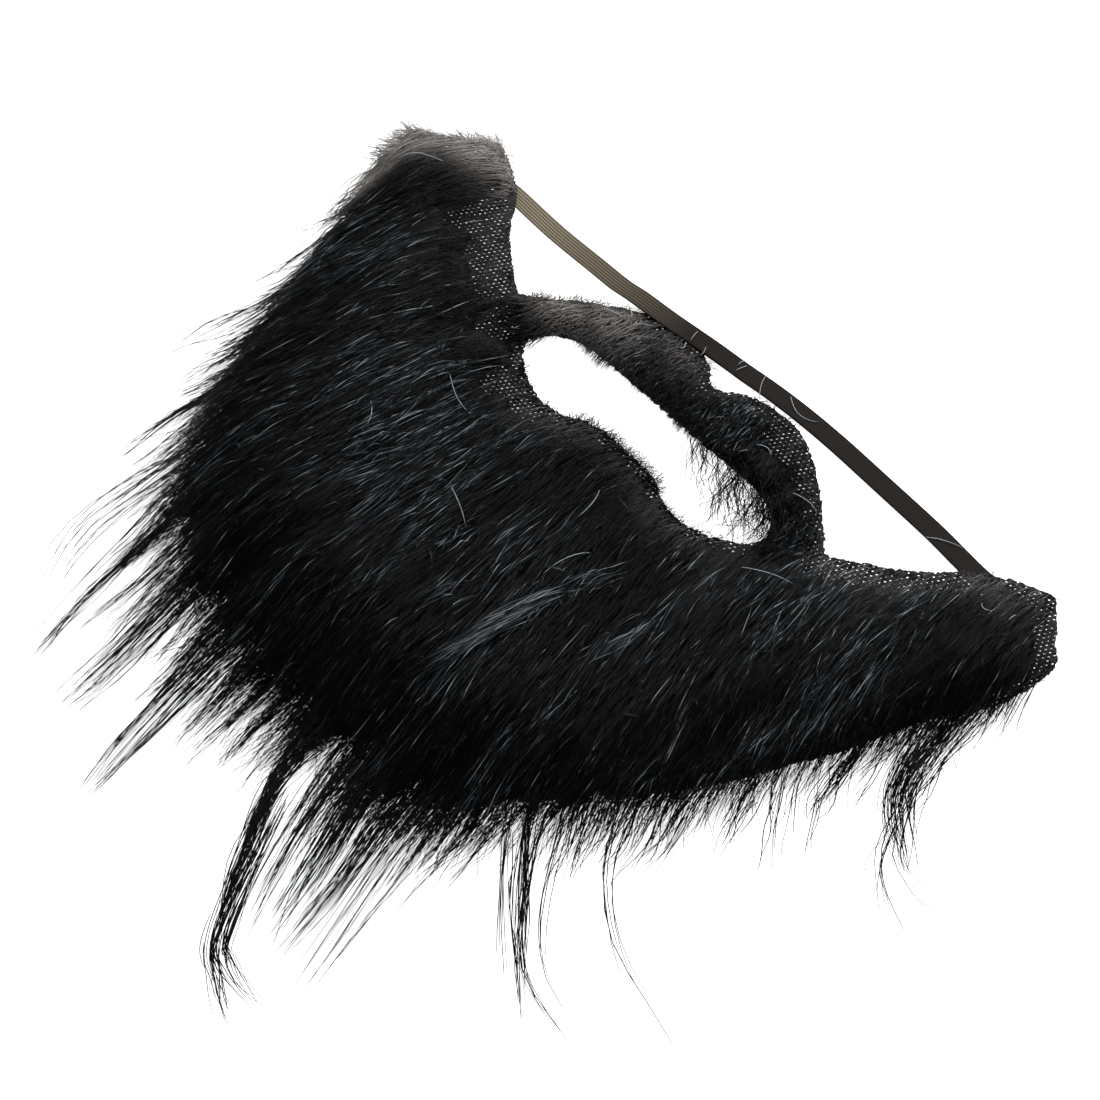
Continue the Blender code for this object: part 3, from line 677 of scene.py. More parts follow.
def gridSolid(name, low, high, step, keep, bottomRule, topRule, material):
    # Closed solid between two height rules, over the grid cells that are kept.
    xs = np.arange(low[0], high[0], step)
    ys = np.arange(low[1], high[1], step)
    x, y = np.meshgrid(xs, ys, indexing="ij")
    wanted = keep(x, y)
    cells = wanted[:-1, :-1] & wanted[1:, :-1] & wanted[1:, 1:] & wanted[:-1, 1:]
    ci, cj = np.nonzero(cells)
    across = len(ys)
    quads = np.stack([ci * across + cj, (ci + 1) * across + cj,
                      (ci + 1) * across + cj + 1, ci * across + cj + 1], 1)
    used, quads = np.unique(quads, return_inverse=True)
    quads = quads.reshape(-1, 4)
    px, py = x.ravel()[used], y.ravel()[used]
    count = len(used)
    s, e = openEdges(quads)
    onRim = np.zeros(count, bool)
    onRim[s] = True
    bottom = bottomRule(px, py)
    top = np.maximum(topRule(px, py), bottom + 0.15 * mm)
    top = np.where(onRim, bottom + 0.15 * mm, top)
    points = np.concatenate([np.stack([px, py, top], 1), np.stack([px, py, bottom], 1)])
    border = np.stack([e, s, s + count, e + count], 1)
    return meshPiece(name, points, [quads, quads[:, ::-1] + count, border], material)


def underfur(look):
    material = underfurMaterial(look)
    covered = upstreamCover(look["bareEdge"])
    run = look["bareEdge"] + look["fillRun"]
    full = blurMap(upstreamCover(run), 8)
    pileOnly = ~np.isnan(beardTop)
    solidPile = blurMap(np.where(pileOnly, pileTop, 0.0), 3)
    overhang = np.zeros(mapShape)
    for step in range(1, look["overhang"] + 1):
        overhang = np.maximum(overhang, np.roll(covered, -step, 1))
    room = np.maximum(covered, overhang)

    def keep(x, y):
        tongues = look["ragged"] * stretchedNoise(x, y, 40 * mm, 3.6 * mm, 21)
        deep = sampleMap(furDepth, x, y) > np.where(sampleMap(clothDepth, x, y) > 6, 1, tongues)
        thick = sampleMap(keptShareMap, x, y) + 0.1 * stretchedNoise(x, y, 9 * mm, 2 * mm, 23) > 0.38
        onPileOnly = sampleMap(pileOnly.astype(float), x, y) > 0.99
        return deep & thick & onPileOnly & (sampleMap(room, x, y) > 0.9)

    def bottom(x, y):
        return np.where(sampleMap(clothMask, x, y) > 0.2, clothRoom(x, y) + clothFace, 0.3 * mm)

    def top(x, y):
        share = 0.35 + 0.65 * sampleMap(full, x, y)
        ridge = look["ridge"] * (stretchedNoise(x, y, 16 * mm, 2.2 * mm, 5) - 0.5)
        level = sampleMap(solidPile, x, y) - look["below"]
        return bottom(x, y) + (level - bottom(x, y)) * share + ridge

    low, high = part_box("beard_pile")
    piece = gridSolid("underfur", low, high, look["grid"], keep, bottom, top, material)
    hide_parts("beard_pile")


underfur(underfurLook)


# long fibres over cheeks, chin and sideburns
beardHair = {
    "count": 13600,
    "pieces": 2,
    "tuftSpacing": 6.0 * mm,
    "length": (28 * mm, 52 * mm),
    "thickness": (0.19 * mm, 0.33 * mm),   # real fibres are too fine to show, as in every piece here
    "rings": 5,
    "heading": 6.0,           # degrees from straight towards the chin
    "headingTurn": 12.0,      # more of it towards the wearer's left end, less towards the right
    "strayShare": 0.02,
    "edgeSlack": 0.32,        # how much further some reach past the edge on the wearer's left
    "edgeSlackFrom": 35 * mm,
}

# places where the fibres get a painted sheen, a lighter tone standing in for light on them, and painted
# shade where the strength is below zero: x, y, radii in mm, strength
shinyPlaces = [
    (33, -36, 5, 20, 0.60),
    (104, 20, 12, 24, 0.26),
    (90, 56, 22, 8, 0.26),
    (-112, 66, 20, 15, -0.30),
    (14, -12, 8, 18, 0.35),
    (-48, 6, 26, 20, 0.27),
    (-20, -30, 24, 20, 0.26),
    (70, 25, 14, 22, 0.22),
    (-95, 30, 24, 26, 0.24),
    (-30, 72, 16, 9, 0.25),
    (15, 74, 16, 9, 0.22),
]


def napHeading(x, y):
    # Lie of the fur, which wavers slowly over the cloth.
    turn = beardHair["headingTurn"] * np.clip(x / halfSpan, -1, 1)
    return (beardHair["heading"] + turn + 4.0 * np.sin(x / 0.037 + 0.8)
            + 3.0 * np.sin(y / 0.03 + x / 0.06))


def shine(x, y):
    # How much lighter the fibres are painted in each place: painted sheen in random long patches and in
    # the listed places.
    light = 0.34 * stretchedNoise(x, y, 42 * mm, 9 * mm, 11) ** 1.5
    for *spot, strength in shinyPlaces:
        light = light + strength * np.exp(-spotDistance(x, y, *spot) ** 2)
    return light


beardMask = growMask((~np.isnan(beardTop)).astype(float), 3)


def onBeard(x, y):
    cloth = (sampleMap(clothMask, x, y) > 0.85) & (sampleMap(beardMask, x, y) > 0.5)
    hanging = (sampleMap(clothMask, x, y) < 0.5) & (sampleMap(furDepth, x, y) > 6)
    share = np.where(cloth, keptShare(x, y), np.where(hanging, 0.6, 0.0))
    return dice.random(len(x)) < share


def longFibres(look):
    roots = scatterRoots(look["count"], onBeard)
    centres, mood = clumpCentres(roots, look["tuftSpacing"])
    count = len(roots)
    heading = napHeading(centres[:, 0], centres[:, 1]) + 5.0 * mood + dice.normal(0, 4.5, count)
    stray = dice.random(count) < look["strayShare"]
    heading = heading + np.where(stray, dice.normal(0, 26, count), 0)
    length = dice.uniform(*look["length"], count) * np.where(stray, 0.45, 1)
    slack = np.abs(dice.normal(0, 0.17, count)) - 0.02
    slack = np.where(dice.random(count) < 0.06, dice.uniform(0, 0.5, count), slack)
    slack = slack + look["edgeSlack"] * dice.random(count) ** 2 * (roots[:, 0] > look["edgeSlackFrom"])
    length = cutAtEdge(roots, heading, length, slack)
    layer = dice.uniform(0.45, 1.05, count) ** 0.6
    lift = np.abs(dice.normal(0, 0.8 * mm, count)) + np.where(stray, 1.2 * mm, 0)
    reach = {"x": centres[:, 0], "y": centres[:, 1], "strength": dice.uniform(0.2, 0.9, count)}
    paths = growHairs(roots, heading, dice.normal(2, 6, count), length, layer, lift,
                      look["rings"], 0.07, reach)
    # painted highlights: the tone of each fibre is raised by the painted sheen and given one painted
    # glint
    bright = shine(roots[:, 0], roots[:, 1] - 0.4 * length)
    base = 0.03 + 0.55 * bright * dice.random(count) ** 1.5
    peak = base + 2.4 * bright * dice.random(count) ** 2.4 + 0.5 * dice.random(count) ** 9
    peak = np.clip(peak, 0, 0.95)
    peak = np.where(stray & (dice.random(count) < 0.5), dice.uniform(0.5, 0.9, count), peak)
    tone = glint(count, look["rings"], base, peak, (0.12, 0.35))
    thickness = dice.uniform(*look["thickness"], count) * np.where(stray, 0.7, 1)
    order = np.argsort(roots[:, 0])
    for number, chosen in enumerate(np.array_split(order, look["pieces"])):
        hairPiece("beardFibres" + "AB"[number], paths[chosen], thickness[chosen], tone[chosen])


# guard hairs on top of the rest: short stretches with painted highlights, straight, some of them crossing
guardHair = {
    "count": 7600,
    "length": (11 * mm, 36 * mm),
    "thickness": (0.15 * mm, 0.27 * mm),
    "rings": 5,
    "crossShare": 0.07,
}


def onSurface(x, y):
    share = np.clip(keptShare(x, y) / usualShare, 0, 1)
    return (sampleMap(furSoft, x, y) > 0.5) & (dice.random(len(x)) < share)


def guardFibres(look):
    roots = scatterRoots(look["count"], onSurface)
    count = len(roots)
    crossing = dice.random(count) < look["crossShare"]
    heading = napHeading(*roots.T) + dice.normal(0, 6, count)
    heading = heading + np.where(crossing, dice.normal(0, 45, count), 0)
    length = dice.uniform(*look["length"], count) * np.where(crossing, 0.35, 1)
    length = cutAtEdge(roots, heading, length, np.abs(dice.normal(0, 0.2, count)))
    paths = growHairs(roots, heading, dice.normal(0, 4, count), length,
                      dice.uniform(0.98, 1.05, count), dice.uniform(0.1, 0.7, count) * mm,
                      look["rings"], 0.04, sunk=0.86)
    # painted highlights: tone raised by the painted sheen, with one painted glint along each fibre
    bright = shine(roots[:, 0], roots[:, 1] - 0.5 * length)
    base = 0.04 + 0.6 * bright * dice.random(count) ** 1.5
    peak = 0.10 + 3.0 * bright * dice.random(count) ** 1.3 + 0.9 * dice.random(count) ** 6
    peak = np.where(crossing, dice.uniform(0.35, 0.85, count), np.clip(peak, 0, 1))
    hairPiece("guardFibres", paths, dice.uniform(*look["thickness"], count),
              glint(count, look["rings"], base, peak, (0.14, 0.4)))


longFibres(beardHair)
guardFibres(guardHair)


# hanging locks of the fringe, from the wearer's right sideburn round to the left one:
# course through four points in mm, fibres, width where it leaves the fur and at the tip
fringeRows = [
    (-134, 62, -134, 50, -131, 40, -129, 28, 60, 8, 7),
    (-119, 38, -118, 25, -117, 8, -118, -8, 46, 10, 6),
    (-108, 12, -110, -8, -113, -28, -116, -44, 30, 10, 7),
    (-98, -2, -101, -22, -104, -36, -106, -48, 34, 9, 5),
    (-90, -12, -92, -34, -94, -56, -93, -76, 62, 9, 5),
    (-79, -26, -81, -60, -80, -95, -66, -126, 46, 6, 5),
    (-72, -40, -71, -64, -66, -84, -62, -98, 60, 8, 5),
    (-66, -42, -65, -70, -59, -108, -50, -138, 64, 7, 4),
    (-56, -48, -56, -72, -53, -96, -49, -124, 60, 8, 5),
    (-44, -50, -44, -80, -37, -115, -33, -139, 120, 9, 4),
    (-36, -52, -35, -76, -32, -92, -28, -110, 80, 8, 5),
    (-26, -54, -27, -82, -23, -104, -20, -124, 80, 8, 4),
    (-19, -56, -18, -90, -12, -120, -4, -152, 110, 8, 2.5),
    (-10, -58, -10, -84, -7, -104, -4, -120, 90, 8, 4),
    (-3, -58, -3, -86, 0, -108, 3, -124, 90, 8, 4),
    (4, -58, 5, -86, 7, -104, 11, -118, 60, 6, 3),
    (13, -60, 15, -84, 16, -96, 13, -110, 60, 9, 8),
    (17, -62, 22, -98, 36, -123, 52, -147, 90, 5, 1.0),
    (18, -66, 26, -106, 40, -130, 53, -149, 45, 3, 0.9),
    (27, -104, 50, -142, 60, -150, 80, -151, 40, 2.6, 3.0),
    (27, -106, 49, -144, 62, -154, 77, -160, 34, 2.4, 2.2),
    (26, -60, 31, -88, 43, -118, 60, -149, 100, 10, 5),
    (36, -58, 39, -84, 50, -112, 60, -140, 110, 9, 5),
    (45, -55, 48, -84, 57, -110, 66, -141, 110, 9, 4),
    (54, -50, 58, -78, 66, -106, 79, -145, 90, 9, 5),
    (62, -44, 65, -66, 69, -84, 72, -98, 80, 9, 6),
    (66, -38, 74, -62, 97, -86, 124, -107, 62, 10, 6),
    (70, -36, 82, -64, 108, -92, 140, -100, 26, 8, 5),
    (78, -28, 84, -44, 92, -58, 99, -72, 80, 12, 9),
    (88, -18, 92, -36, 99, -50, 103, -64, 60, 9, 6),
    (95, -8, 99, -26, 104, -40, 108, -54, 44, 8, 5),
    (102, 4, 108, -12, 113, -24, 117, -36, 40, 8, 5),
    (108, 16, 115, -2, 124, -14, 134, -26, 26, 7, 5),
    (114, 30, 119, 14, 122, 2, 124, -10, 40, 8, 6),
    (119, 44, 122, 28, 124, 16, 127, 4, 44, 7, 5),
    (125, 60, 131, 34, 138, 14, 157, 0, 100, 7, 3),
    (128, 58, 132, 36, 137, 18, 142, 8, 50, 6, 5),
    (134, 26, 144, -1, 156, -12, 171, -18, 8, 2.5, 5),
    (135, 24, 149, 2, 161, -1, 172, 0, 7, 2, 3),
    (88, -34, 103, -58, 128, -74, 158, -80, 9, 2.5, 4),
]
fringeLook = {
    "rings": 10,
    "sunk": 0.0,
    "thickness": (0.22 * mm, 0.38 * mm),
    "fill": 0.70,             # share of the fibres of a row that are grown
}
thinLock = 12                     # with no more fibres than this, all of a lock's start at its root


def curveThrough(points, share):
    # Places on a smooth line through points, for shares of its way.
    spans = len(points) - 1
    k = np.minimum((share * spans).astype(int), spans - 1)
    f = (share * spans - k)[..., None]
    slope = np.gradient(points, axis=0)
    return (points[k] * (2 * f**3 - 3 * f**2 + 1) + points[k + 1] * (3 * f**2 - 2 * f**3)
            + slope[k] * (f**3 - 2 * f**2 + f) + slope[k + 1] * (f**3 - f**2))


def lockPaths(rows, look, fill, layers):
    # fibres of many locks, gathered into strands that waver along the course of each lock
    paths, thickness = [], []
    for *course, fullCount, wide, narrow in rows:
        fibres = int(round(fullCount * fill))
        points = np.array(course, float).reshape(4, 2) * mm
        first = (0.45 if fullCount > thinLock else 0.04) * dice.random(fibres) ** 1.4
        last = np.maximum(1 - 0.68 * dice.random(fibres) ** 1.3, first + 0.25)
        last = np.minimum(last, 1)
        share = first[:, None] + (last - first)[:, None] * np.linspace(0, 1, look["rings"])[None]
        middle = curveThrough(points, share)
        ahead = curveThrough(points, np.minimum(share + 0.02, 1)) - curveThrough(points, share - 0.02)
        ahead /= np.linalg.norm(ahead, axis=2, keepdims=True)
        strands = dice.normal(0, 0.5, (max(4, fibres // 4),))
        offset = strands[dice.integers(0, len(strands), fibres)] + dice.normal(0, 0.07, fibres)
        phase = dice.uniform(0, 6, (fibres, 1))
        wander = dice.normal(0, 0.9 * mm, (fibres, 1)) * np.sin(6 * share + phase)
        wander = wander + dice.normal(0, 0.4 * mm, (fibres, 1)) * np.sin(15 * share + 2 * phase)
        width = (wide + (narrow - wide) * share) * mm
        spread = dice.normal(0, 0.22, (fibres, 1)) * share ** 2
        away = (offset[:, None] + spread) * width + wander
        x = middle[..., 0] - ahead[..., 1] * away
        y = middle[..., 1] + ahead[..., 0] * away
        z = settle(x, y, dice.uniform(*layers, fibres), np.abs(dice.normal(0, 0.7 * mm, fibres)),
                   sunk=look["sunk"])
        paths.append(np.stack([x, y, z], 2))
        thickness.append(dice.uniform(*look["thickness"], fibres))
    return np.concatenate(paths), np.concatenate(thickness)


def fringeLocks(look):
    paths, thickness = lockPaths(fringeRows, look, look["fill"], (0.3, 0.95))
    tone = np.clip(0.02 + 0.3 * dice.random(len(paths)) ** 3, 0, 1)
    hairPiece("fringeLocks", paths, thickness, tone, fine=0.55)


# locks on top of the chin and cheeks painted light as a painted sheen streak, given like the fringe
sheenRows = [
    (36, -10, 33.5, -28, 31.8, -48, 30.0, -70, 130, 1.6, 3.6),
    (3, -16, 3, -22, 3, -28, 2.5, -36, 16, 3, 4),
    (-35, -10, -36, -18, -37, -26, -38, -34, 20, 4, 6),
    (58, 2, 58.5, -10, 58.7, -20, 58.8, -32, 24, 4, 7),
    (42, 8, 41, -2, 40, -10, 39, -18, 20, 5, 7),
    (18, -30, 17, -38, 16, -46, 16, -56, 22, 5, 8),
    (-62, 4, -63, -6, -64, -14, -64, -24, 20, 6, 8),
]
sheenLook = {"rings": 6, "thickness": (0.18 * mm, 0.30 * mm), "sunk": 0.86}


def paintedSheenLocks(look):
    paths, thickness = lockPaths(sheenRows, look, 1.0, (1.0, 1.06))
    count = len(paths)
    # painted sheen: light tone along most of each fibre
    peak = 0.5 + 0.5 * dice.random(count)
    hairPiece("paintedSheenLocks", paths, thickness, glint(count, look["rings"], 0.4 * peak, peak, (0.25, 0.6)))


# single fibres that stray past the edge of the thick fur between the locks
looseLook = {
    "count": 2900,
    "rings": 6,
    "edge": 9 * mm,           # how far inside the thick fur they start
    "length": (6 * mm, 36 * mm),
    "thickness": (0.14 * mm, 0.26 * mm),
    "turn": 8,                # degrees that they lean by at the end of a sideburn
    "sideFrom": 60 * mm,      # from here on the outer edge of the sideburn counts too
    "top": 60 * mm,
}


def looseFringe(look):
    steps = int(round(look["edge"] / mapSetup["step"]))
    below = np.roll(furMask, steps, 1)
    outside = np.maximum(np.roll(furMask, -steps, 0), mapX < look["sideFrom"])
    lowerEdge = furMask * (1 - below * outside) * (mapY < look["top"])

    def keep(x, y):
        return sampleMap(lowerEdge, x, y) > 0.5

    roots = scatterRoots(look["count"], keep)
    count = len(roots)
    heading = napHeading(*roots.T) - look["turn"] * roots[:, 0] / halfSpan + dice.normal(0, 12, count)
    least, most = look["length"]
    lengths = least + (most - least) * dice.random(count) ** 1.7
    paths = growHairs(roots, heading, dice.normal(8, 18, count), lengths,
                      dice.uniform(0.4, 0.95, count), np.abs(dice.normal(0, 1 * mm, count)),
                      look["rings"], 0.2)
    hairPiece("looseFringe", paths, dice.uniform(*look["thickness"], count), 0.3 * dice.random(count))


fringeLocks(fringeLook)
paintedSheenLocks(sheenLook)
looseFringe(looseLook)


# moustache: short clipped fibres
moustacheHair = {
    "count": 4500,
    "length": (7 * mm, 14 * mm),
    "thickness": (0.18 * mm, 0.30 * mm),
    "rings": 4,
    "trim": 59.6 * mm,        # line along which the short fibres are cut
}

# tufts that dip below the trimmed line: x, half width and drop in mm
lipTufts = [(-31, 5.5, 4.5), (-41, 3.5, 2.5), (-13, 4, 0.8), (5, 6, 2.6), (16, 4, 2.0)]


def moustacheFibres(look):
    lipMask = growMask((~np.isnan(lipTop)).astype(float), 3)

    def onLip(x, y):
        share = 1.7 * keptShare(x, y)
        return (sampleMap(lipMask, x, y) > 0.5) & (sampleMap(clothMask, x, y) > 0.85) & (
            dice.random(len(x)) < share)

    roots = scatterRoots(look["count"], onLip)
    count = len(roots)
    x, y = roots.T
    heading = np.clip(5 + 0.2 * x / mm, -14, 16) + dice.normal(0, 13, count)
    heading = heading + np.where(dice.random(count) < 0.05, dice.normal(0, 35, count), 0)
    trim = look["trim"] - 2 * mm * np.clip(np.abs(x) / (48 * mm), 0, 1) ** 6
    for spot, wide, drop in lipTufts:
        trim = trim - drop * mm * np.exp(-((x / mm - spot) / wide) ** 2)
    room = (y - trim) + dice.normal(0, 0.7 * mm, count)
    length = dice.uniform(*look["length"], count)
    length = np.where(np.abs(x) < 49 * mm, np.minimum(length, np.maximum(room, 2.5 * mm)), length)
    paths = growHairs(roots, heading, dice.normal(3, 8, count), length,
                      dice.uniform(0.5, 1.08, count), np.abs(dice.normal(0, 0.5 * mm, count)),
                      look["rings"], 0.08)
    # painted highlights: tone raised by the painted sheen, with one painted glint along each fibre
    peak = np.clip(0.08 + 2.8 * (0.10 + shine(x, y)) * dice.random(count) ** 1.8, 0, 0.9)
    peak = np.where(dice.random(count) < 0.02, 0.95, peak)
    hairPiece("moustacheFibres", paths, dice.uniform(*look["thickness"], count),
              glint(count, look["rings"], np.full(count, 0.03), peak, (0.2, 0.5)))


# thin curly fibres left to fall over one half of the mouth hole
mouthLook = {
    "count": 330,
    "rings": 9,
    "length": (12 * mm, 37 * mm),
    "thickness": (0.17 * mm, 0.30 * mm),
    "strands": 22,
    "from": 6,                # where on the lip they start, and over which width, in mm
    "over": 40,
    "lip": (59.0, 65),        # how far up the lip they start, in mm
    "room": (29, 48, 28, 18),   # oval in which they end: its middle and radii in mm
}


def mouthStrands(look):
    count = look["count"]
    middles = look["from"] + look["over"] * dice.random(look["strands"]) ** 0.8
    middles = middles[dice.integers(0, len(middles), count)]
    pick = middles + dice.normal(0, 1.0, count)
    roots = np.stack([pick * mm, dice.uniform(*look["lip"], count) * mm], 1)
    heading = 50 - 0.35 * pick + dice.normal(0, 11, count)
    length = dice.uniform(*look["length"], count) * np.clip(0.6 + 0.012 * pick, 0.4, 1.0)
    paths = growHairs(roots, heading, dice.normal(0, 38, count), length,
                      dice.uniform(0.5, 1.0, count), np.abs(dice.normal(0.8 * mm, 1.0 * mm, count)),
                      look["rings"], 0.38)
    paths = paths[spotDistance(paths[:, -1, 0], paths[:, -1, 1], *look["room"]) < 1]
    tone = np.clip(0.03 + 0.3 * dice.random(len(paths)) ** 2, 0, 1)
    hairPiece("mouthStrands", paths, dice.uniform(*look["thickness"], len(paths)), tone, fine=0.5)


moustacheFibres(moustacheHair)
mouthStrands(mouthLook)


# short fuzz standing out past the cut edges:
# x, y, radius in mm, fibres, length in mm, heading, spread, tone, rise in mm
fuzzRows = [
    # the pale tone of the fuzz at the sideburn end and on the moustache flank is painted backlight
    (-134, 86, 13, 560, 10, -24, 30, 0.55, 4.0),
    (-138, 70, 11, 460, 9, -35, 30, 0.55, 2.5),
    (-124, 94, 11, 420, 7, -60, 50, 0.60, 4.5),
    (-110, 89, 10, 300, 6, -10, 70, 0.55, 4.0),
    (0, 40, 20, 620, 5, 178, 50, 0.12, 1.8),
    (-34, 35, 12, 160, 4, 170, 60, 0.12, 1.0),
    (33, 35, 12, 240, 4.5, 175, 55, 0.12, 1.2),
    (-56, 68, 14, 400, 4.5, 170, 65, 0.35, 2.0),
    (-36, 79, 8, 160, 3.5, 160, 60, 0.3, 1.2),
    (16, 83, 12, 100, 3, 165, 60, 0.15, 0.8),
    (45, 74, 14, 90, 2.5, 165, 60, 0.1, 0.6),
    (-4, 77, 7, 110, 3.5, 175, 60, 0.2, 1.2),
    (78, 66, 14, 110, 2.5, 165, 60, 0.2, 0.6),
    (-80, 64, 14, 80, 2.5, 185, 60, 0.2, 0.6),
    (112, 92, 12, 90, 2.5, 150, 60, 0.1, 0.6),
    (136, 70, 12, 90, 2.5, 90, 60, 0.2, 0.6),
    (128, 52, 10, 110, 7, 40, 35, 0.1, 0.8),
]
fuzzLook = {"rings": 4, "thickness": (0.12 * mm, 0.21 * mm), "least": 0.6, "most": 4.5}


def edgeFuzz(rows, look):
    paths, tone = [], []
    for spotX, spotY, radius, fibres, length, heading, spread, shade, rise in rows:
        def keep(x, y):
            near = np.hypot(x - spotX * mm, y - spotY * mm) < radius * mm
            depth = sampleMap(clothDepth, x, y)
            return near & (depth > look["least"]) & (depth < look["most"])

        roots = scatterRoots(fibres, keep)
        turn = heading + dice.normal(0, spread, fibres)
        paths.append(growHairs(roots, turn, dice.normal(0, 40, fibres),
                               length * mm * dice.uniform(0.5, 1.25, fibres),
                               np.ones(fibres), rise * mm * dice.random(fibres),
                               look["rings"], 0.2, stiff=True))
        tone.append(np.clip(shade * dice.uniform(0.4, 1.2, fibres), 0, 1))
    paths = np.concatenate(paths)
    hairPiece("edgeFuzz", paths, dice.uniform(*look["thickness"], len(paths)), np.concatenate(tone))


edgeFuzz(fuzzRows, fuzzLook)


# pale fibres shed onto the fur and the band, each an arc through three points in mm
shedRows = [
    (7, 91, 12, 84, 19, 82),
    (18, 91, 25, 88, 31, 91),
    (81, 83.5, 86, 86.5, 91, 88.5),
    (-1.5, 91, -1.6, 89, -1.0, 87.5),
    (0.5, 89.5, 0, 87, -0.3, 85.5),
    (-18.5, 87, -18, 85, -17.2, 82.5),
    (-12.2, 84.5, -11.4, 83, -10.6, 81),
    (27, 68, 30, 69.5, 33, 68),
    (47, 63, 51, 65, 56, 64.5),
    (-124, 90, -133, 75, -134, 68),
    (-126, 78, -130, 65, -131, 58),
    (-116, 68, -125, 63, -130, 60),
    (-71, 27, -73, 20, -75, 14),
    (-38, 77, -35, 75, -36, 74),
    (-43, 71, -39, 72, -36, 72.5),
    (121, 75.5, 121, 73.5, 121.5, 72),
    (113, 70, 115, 69, 117, 71),
    (-16.5, 80, -15.2, 78, -16.5, 77),
    (-32, 72, -30, 75, -27, 77),
    (60, 30, 66, 34, 75, 36),
    (-45, 12, -38, 9, -30, 8),
    (-52, -12, -46, -17, -44, -24),
    (-12, -15, -4, -18, 2, -21),
    (14, 18, 17, 12, 18, 5),
    (30, 0, 28, -8, 29, -17),
]
shedLook = {"rings": 9, "thickness": 0.26 * mm, "lift": 0.5 * mm}


def shedFibres(rows, look):
    count = len(rows)
    points = np.array(rows, float).reshape(count, 3, 2) * mm
    t = np.linspace(0, 1, look["rings"])[None, :, None]
    bend = 2 * points[:, 1] - (points[:, 0] + points[:, 2]) / 2
    flat = (points[:, None, 0] * (1 - t) ** 2 + 2 * bend[:, None] * t * (1 - t)
            + points[:, None, 2] * t ** 2)
    z = sampleMap(skinTop, flat[..., 0], flat[..., 1]) + look["lift"]
    paths = np.concatenate([flat, z[..., None]], 2)
    hairPiece("shedFibres", paths, np.full(count, look["thickness"]), np.full(count, 1.0))


shedFibres(shedRows, shedLook)


# thin dense layer close to the cloth of the moustache
lipUnderfurLook = {
    "grid": underfurLook["grid"],
    "below": 1.6 * mm,
    "bareEdge": 5 * mm,
    "leastShare": 0.35,       # it is left out where fewer fibres grow than this
    "ridge": 0.8 * mm,
}


def moustacheUnderfur(look):
    onLip = (~np.isnan(lipTop)).astype(float)
    covered = upstreamCover(look["bareEdge"]) * onLip * (keptShareMap > look["leastShare"])
    soft = blurMap(np.nan_to_num(lipTop), 2)

    def keep(x, y):
        return sampleMap(covered, x, y) > 0.95

    def bottom(x, y):
        return clothRoom(x, y) + clothFace

    def top(x, y):
        ridge = look["ridge"] * (stretchedNoise(x, y, 9 * mm, 1.6 * mm, 8) - 0.5)
        return sampleMap(soft, x, y) - look["below"] + ridge

    low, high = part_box("moustache_pile")
    piece = gridSolid("moustacheUnderfur", low, high, look["grid"], keep, bottom, top,
                      bpy.data.materials["acrylicUnderfur"])
    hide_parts("moustache_pile")


moustacheUnderfur(lipUnderfurLook)


# elastic band: flat braid with ribs along it
bandLook = {
    "width": 6.8 * mm,
    "ribs": 7,
    "pointsPerRib": 3,
    "step": 1.1 * mm,
    "ribDepth": 0.17 * mm,
    "braidPitch": 2.6 * mm,
    "braidDepth": 0.025 * mm,
    "dark": "#0d0a08",
    # light colours are for the rib crowns: painted light on the crowns, painted shade in the grooves
    "light": "#2a231e",
    "paleEnd": "#443c31",
    "paleEndLit": "#a39681",
    "paleEndFrom": (-0.020, -0.085),   # over this stretch in x it turns from dark to the paler colours
}


def bandMaterial(look):
    # braided polyester over rubber cores: ribbed and matt, brown black, paler to the wearer's right; rib
    # crowns painted lighter and grooves painted darker, as painted light and shade
    material, shader = newMaterial("braidedElastic")
    tree = material.node_tree
    place = addNode(tree, "ShaderNodeTexCoord")
    axes = addNode(tree, "ShaderNodeSeparateXYZ", {"Vector": place.outputs["Object"]})
    paleEnd = addNode(tree, "ShaderNodeMapRange", {"Value": axes.outputs["X"]})
    paleEnd.inputs["From Min"].default_value = look["paleEndFrom"][0]
    paleEnd.inputs["From Max"].default_value = look["paleEndFrom"][1]
    # painted light and shade: the crown value makes rib tops lighter and grooves darker
    crown = addNode(tree, "ShaderNodeAttribute", attribute_name="crown")
    plain = addNode(tree, "ShaderNodeValToRGB", {"Fac": crown.outputs["Fac"]})
    setRamp(plain, [(0.1, look["dark"]), (0.95, look["light"])])
    paleLit = addNode(tree, "ShaderNodeValToRGB", {"Fac": crown.outputs["Fac"]})
    setRamp(paleLit, [(0.1, look["paleEnd"]), (0.95, look["paleEndLit"])])
    mix = addNode(tree, "ShaderNodeMix", data_type="RGBA")
    tree.links.new(paleEnd.outputs["Result"], mix.inputs[0])
    tree.links.new(plain.outputs["Color"], mix.inputs[6])
    tree.links.new(paleLit.outputs["Color"], mix.inputs[7])
    tree.links.new(mix.outputs[2], shader.inputs["Base Color"])
    shader.inputs["Roughness"].default_value = 0.75
    shader.inputs["Specular IOR Level"].default_value = 0.2
    return material


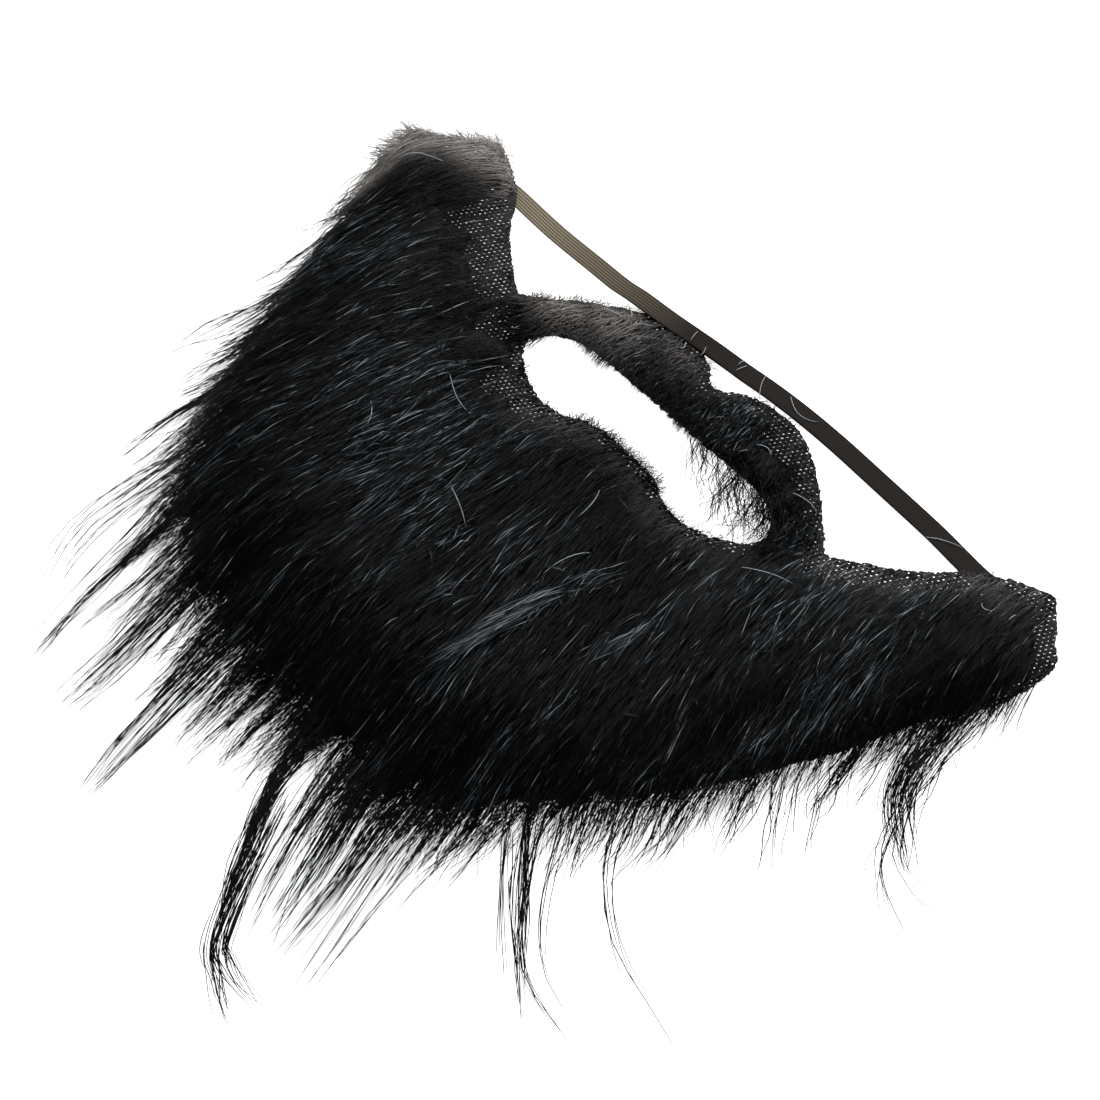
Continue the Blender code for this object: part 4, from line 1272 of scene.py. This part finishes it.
def elasticBand(look):
    # Ribbed band swept along the course of the strap.
    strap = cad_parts["elastic_strap"]
    corners = np.array([vertex.co for vertex in strap.data.vertices])
    corners = corners[np.argsort(corners[:, 0])]
    splits = np.nonzero(np.diff(corners[:, 0]) > 3 * mm)[0] + 1
    course = np.array([part.mean(0) for part in np.split(corners, splits)])
    width = look["width"]
    thickness = 2 * corners[:, 2].min() + 2 * course[0, 2]
    line = curveThrough(course, np.linspace(0, 1, 600))
    run = np.concatenate([[0], np.cumsum(np.linalg.norm(np.diff(line, axis=0), axis=1))])
    places = np.linspace(0, run[-1], int(run[-1] / look["step"]))
    line = np.stack([np.interp(places, run, line[:, axis]) for axis in range(3)], 1)
    along = np.gradient(line, axis=0)
    along /= np.linalg.norm(along, axis=1, keepdims=True)
    side = np.stack([-along[:, 1], along[:, 0], np.zeros(len(line))], 1)
    across = np.linspace(-1, 1, look["ribs"] * look["pointsPerRib"] + 1)
    crown = np.abs(np.sin(math.pi * (across + 1) / 2 * look["ribs"])) ** 0.7
    edge = np.sqrt(np.clip(1 - np.abs(across) ** 10, 0, 1))
    rib = (across + 1) / 2 * look["ribs"]
    phase = math.pi * np.floor(np.clip(rib, 0, look["ribs"] - 0.001))
    braid = np.sin(2 * math.pi * places[:, None] / look["braidPitch"] + phase[None])
    half = (thickness / 2 - look["ribDepth"] * (1 - crown))[None] * edge[None]
    half = np.clip(half + look["braidDepth"] * braid * crown[None] * edge[None], 0.05 * mm, thickness / 2)
    upper = line[:, None] + side[:, None] * (across * width / 2)[None, :, None]
    lower = upper[:, ::-1].copy()
    upper[:, :, 2] += half
    lower[:, :, 2] -= half[:, ::-1]
    ring = np.concatenate([upper, lower], 1)
    rings, around = ring.shape[:2]
    # crown value for the painted light on rib tops and painted shade in the grooves
    value = np.concatenate([np.broadcast_to(crown, half.shape),
                            np.broadcast_to(crown[::-1], half.shape)], 1)
    k = np.arange(around)
    quads = np.concatenate([np.stack([row * around + k, row * around + (k + 1) % around,
                                      (row + 1) * around + (k + 1) % around, (row + 1) * around + k], 1)
                            for row in range(rings - 1)])
    caps = np.stack([k[::-1], (rings - 1) * around + k], 0)
    piece = meshPiece("elasticBand", ring.reshape(-1, 3), [quads[:, ::-1], caps], bandMaterial(look),
                      {"crown": value.ravel()})
    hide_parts("elastic_strap")


elasticBand(bandLook)

# floor and light
studioLook = {
    "floor": "#ffffff",
    "floorGlow": 1.0,
    "world": 0.10,
    "key": 13.0,
    "keySize": 0.8,
    "keyPlace": (-0.25, 0.62, 0.95),
}


def studio(look):
    bpy.ops.mesh.primitive_plane_add(size=60.0, location=(0, 0, -0.0002))
    floor = bpy.context.object
    floor.name = "lightTable"
    material, shader = newMaterial("opalAcrylicTable")
    shader.inputs["Base Color"].default_value = hexToLinear(look["floor"])
    shader.inputs["Roughness"].default_value = 0.8
    shader.inputs["Emission Color"].default_value = (1, 1, 1, 1)
    shader.inputs["Emission Strength"].default_value = look["floorGlow"]
    floor.data.materials.append(material)
    world = bpy.data.worlds.new("studioWorld")
    world.use_nodes = True
    world.node_tree.nodes["Background"].inputs["Color"].default_value = (1, 1, 1, 1)
    world.node_tree.nodes["Background"].inputs["Strength"].default_value = look["world"]
    bpy.context.scene.world = world
    lamp = bpy.data.lights.new("softBox", "AREA")
    lamp.energy = look["key"]
    lamp.size = look["keySize"]
    holder = bpy.data.objects.new("softBox", lamp)
    bpy.context.scene.collection.objects.link(holder)
    holder.location = look["keyPlace"]
    aim = Vector((0, 0, 0)) - holder.location
    holder.rotation_mode = "QUATERNION"
    holder.rotation_quaternion = aim.to_track_quat("-Z", "Y")
    bpy.context.scene.view_settings.view_transform = "Standard"


studio(studioLook)
print("triangles in all:", sum(triangleCount.values()))
